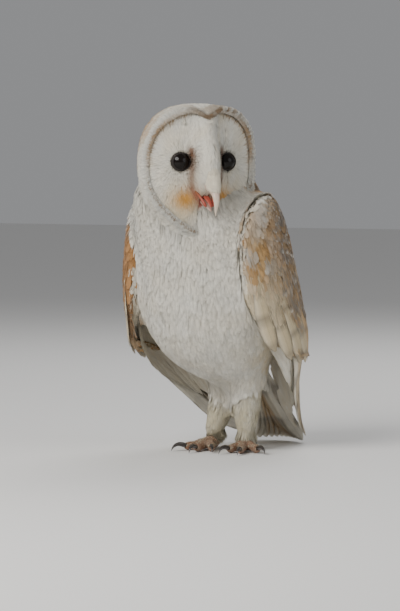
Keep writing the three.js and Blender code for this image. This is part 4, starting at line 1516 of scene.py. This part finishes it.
def lids(side):
    """A closed ring round the eye, drawn out at its upper inner corner. LID is its section."""
    axis = eye_axis(side)
    a1 = unit(HEAD_LEFT * SIDES[side] - axis * (HEAD_LEFT @ axis) * SIDES[side])
    a2 = np.cross(axis, a1)
    a2 = a2 * np.sign(a2[2])
    verts = []
    for height, radius in LID:
        for k in range(LID_AROUND):
            turn = 2 * math.pi * k / LID_AROUND
            corner = bell(math.remainder(turn - LID_CORNER, 2 * math.pi), 0.42)
            reach = radius * (1 + 0.22 * corner) * (1 + 0.03 * math.cos(2 * turn))
            rim = reach * (a1 * math.cos(turn) + a2 * math.sin(turn))
            verts.append(eye_centre[side] + axis * (height - 0.6 * corner) + rim)
    quads = wall(len(LID), LID_AROUND, closed=True)
    return np.array(verts), triangulated(quads if side == "left" else quads[:, [0, 3, 2, 1]])


def skin_tint(p):
    """The colour under the coat, darkened as painted shade beneath it, the mouth's inside and the toes'
    scutes.
    """
    skull, skull_gold = skull_tint(p)
    body, body_gold = body_tint(p)
    zones = [head_mask & face_inside, head_mask, body_zone, wing_zone, leg_zone]
    tints = [
        face_tint(p),
        painted(skull, (GREY, 0.4 * skull_gold)),
        painted(body, (GREY, 0.4 * body_gold)),
        plain(mix(GOLD, GREY, 0.3), p),
        plain(LEG_CREAM, p),
    ]
    tint = np.select([zone[:, None] for zone in zones], tints, WHITE)
    gape = head_mask * bell(np.hypot(hx, (hz + 27) * 0.65), 5.5) * ramp(hf, 8, 14)
    scutes = painted(SCUTE_DARK, (SCUTE_PALE, 0.4 + 0.5 * wobble(p, 9, 51)))
    # painted shade: all but the feet are darkened to 0.85 under the coat
    return np.where(foot_mask[:, None], scutes, painted(tint, (GAPE_SKIN, 1.3 * gape)) * 0.85)


lid_v, lid_f = joined([lids(side) for side in SIDES])
verts, tris, tint = joined([(skin_v, skin_f, skin_tint(skin_v)), (lid_v, lid_f, plain(LID_DARK, lid_v))])
skin_look = grained_material("owl_skin", 0.8, 260.0, 0.72, 1.12, 700.0, 4.0, 0.0003)
skin = piece("owl_skin", verts, tris, tint, skin_look, "white_plumage", *BODY_NODES, *FOOT_NODES)
skin.data.materials.append(toe_material())
on_foot = np.zeros(len(tris), np.int32)
on_foot[: len(skin_f)] = foot_mask[skin_f].all(axis=1)
skin.data.polygons.foreach_set("material_index", on_foot)

# ---- Floor, light and camera ----

FLOOR_HALF = 6000.0
corners = np.array([(-1, -1, 0), (1, -1, 0), (1, 1, 0), (-1, 1, 0)]) * FLOOR_HALF
floor = mesh_object("floor", corners, np.array([[0, 1, 2, 3]]))
floor_look = Look("floor_pale", 0.9, Base_Color=(0.82, 0.81, 0.79, 1))
floor.data.materials.append(floor_look.material)

world = bpy.data.worlds.new("studio")
world.use_nodes = True
world.node_tree.nodes["Background"].inputs["Color"].default_value = (0.82, 0.83, 0.85, 1)
world.node_tree.nodes["Background"].inputs["Strength"].default_value = 0.34
bpy.context.scene.world = world

VIEW_AZIMUTH, VIEW_ELEVATION = math.radians(30), math.radians(3)
right = np.array([math.cos(VIEW_AZIMUTH), math.sin(VIEW_AZIMUTH), 0.0])
ahead = np.array([-math.sin(VIEW_AZIMUTH), math.cos(VIEW_AZIMUTH), 0.0])
forward = math.cos(VIEW_ELEVATION) * ahead - math.sin(VIEW_ELEVATION) * UP
upward = np.cross(right, forward)
LIT_PLACE = Vector((0, 0, 0.16))


def area_light(name, direction, distance, size, power, colour):
    lamp = bpy.data.lights.new(name, "AREA")
    lamp.shape = "DISK"
    lamp.size = size
    lamp.energy = power
    lamp.color = colour
    obj = show(bpy.data.objects.new(name, lamp))
    place = LIT_PLACE + Vector(direction).normalized() * distance
    obj.location = place
    obj.rotation_euler = (LIT_PLACE - place).to_track_quat("-Z", "Y").to_euler()


area_light("key", -0.75 * right - 1.0 * forward + 0.75 * UP, 1.5, 0.9, 21, (1.0, 0.98, 0.95))
area_light("fill", 1.0 * right - 0.7 * forward + 0.35 * UP, 1.7, 1.3, 5.5, (0.92, 0.96, 1.0))
area_light("back", 0.3 * right + 1.0 * forward + 1.1 * UP, 1.6, 1.0, 10, (1.0, 1.0, 1.0))

# the camera looks at a place above the feet, and a little to the left of them in the picture
AIM_LEFT, AIM_UP, FRAME_HEIGHT, DISTANCE, SENSOR = 23.392, 120.718, 510.443, 2600.0, 24.0
feet = (np.array([0.0, LEG_BACK, 0.0]) + SHIFT) * [1, 1, 0]
camera_data = bpy.data.cameras.new("camera")
camera_data.sensor_fit = "VERTICAL"
camera_data.sensor_height = SENSOR
camera_data.lens = SENSOR * DISTANCE / FRAME_HEIGHT
camera_data.clip_start = 0.05
camera = show(bpy.data.objects.new("camera", camera_data))
rotation = Matrix((right, upward, -forward)).transposed()
camera_at = feet - AIM_LEFT * right + AIM_UP * upward - DISTANCE * forward
camera.matrix_world = Matrix.Translation(Vector(camera_at * MM)) @ rotation.to_4x4()
bpy.context.scene.camera = camera
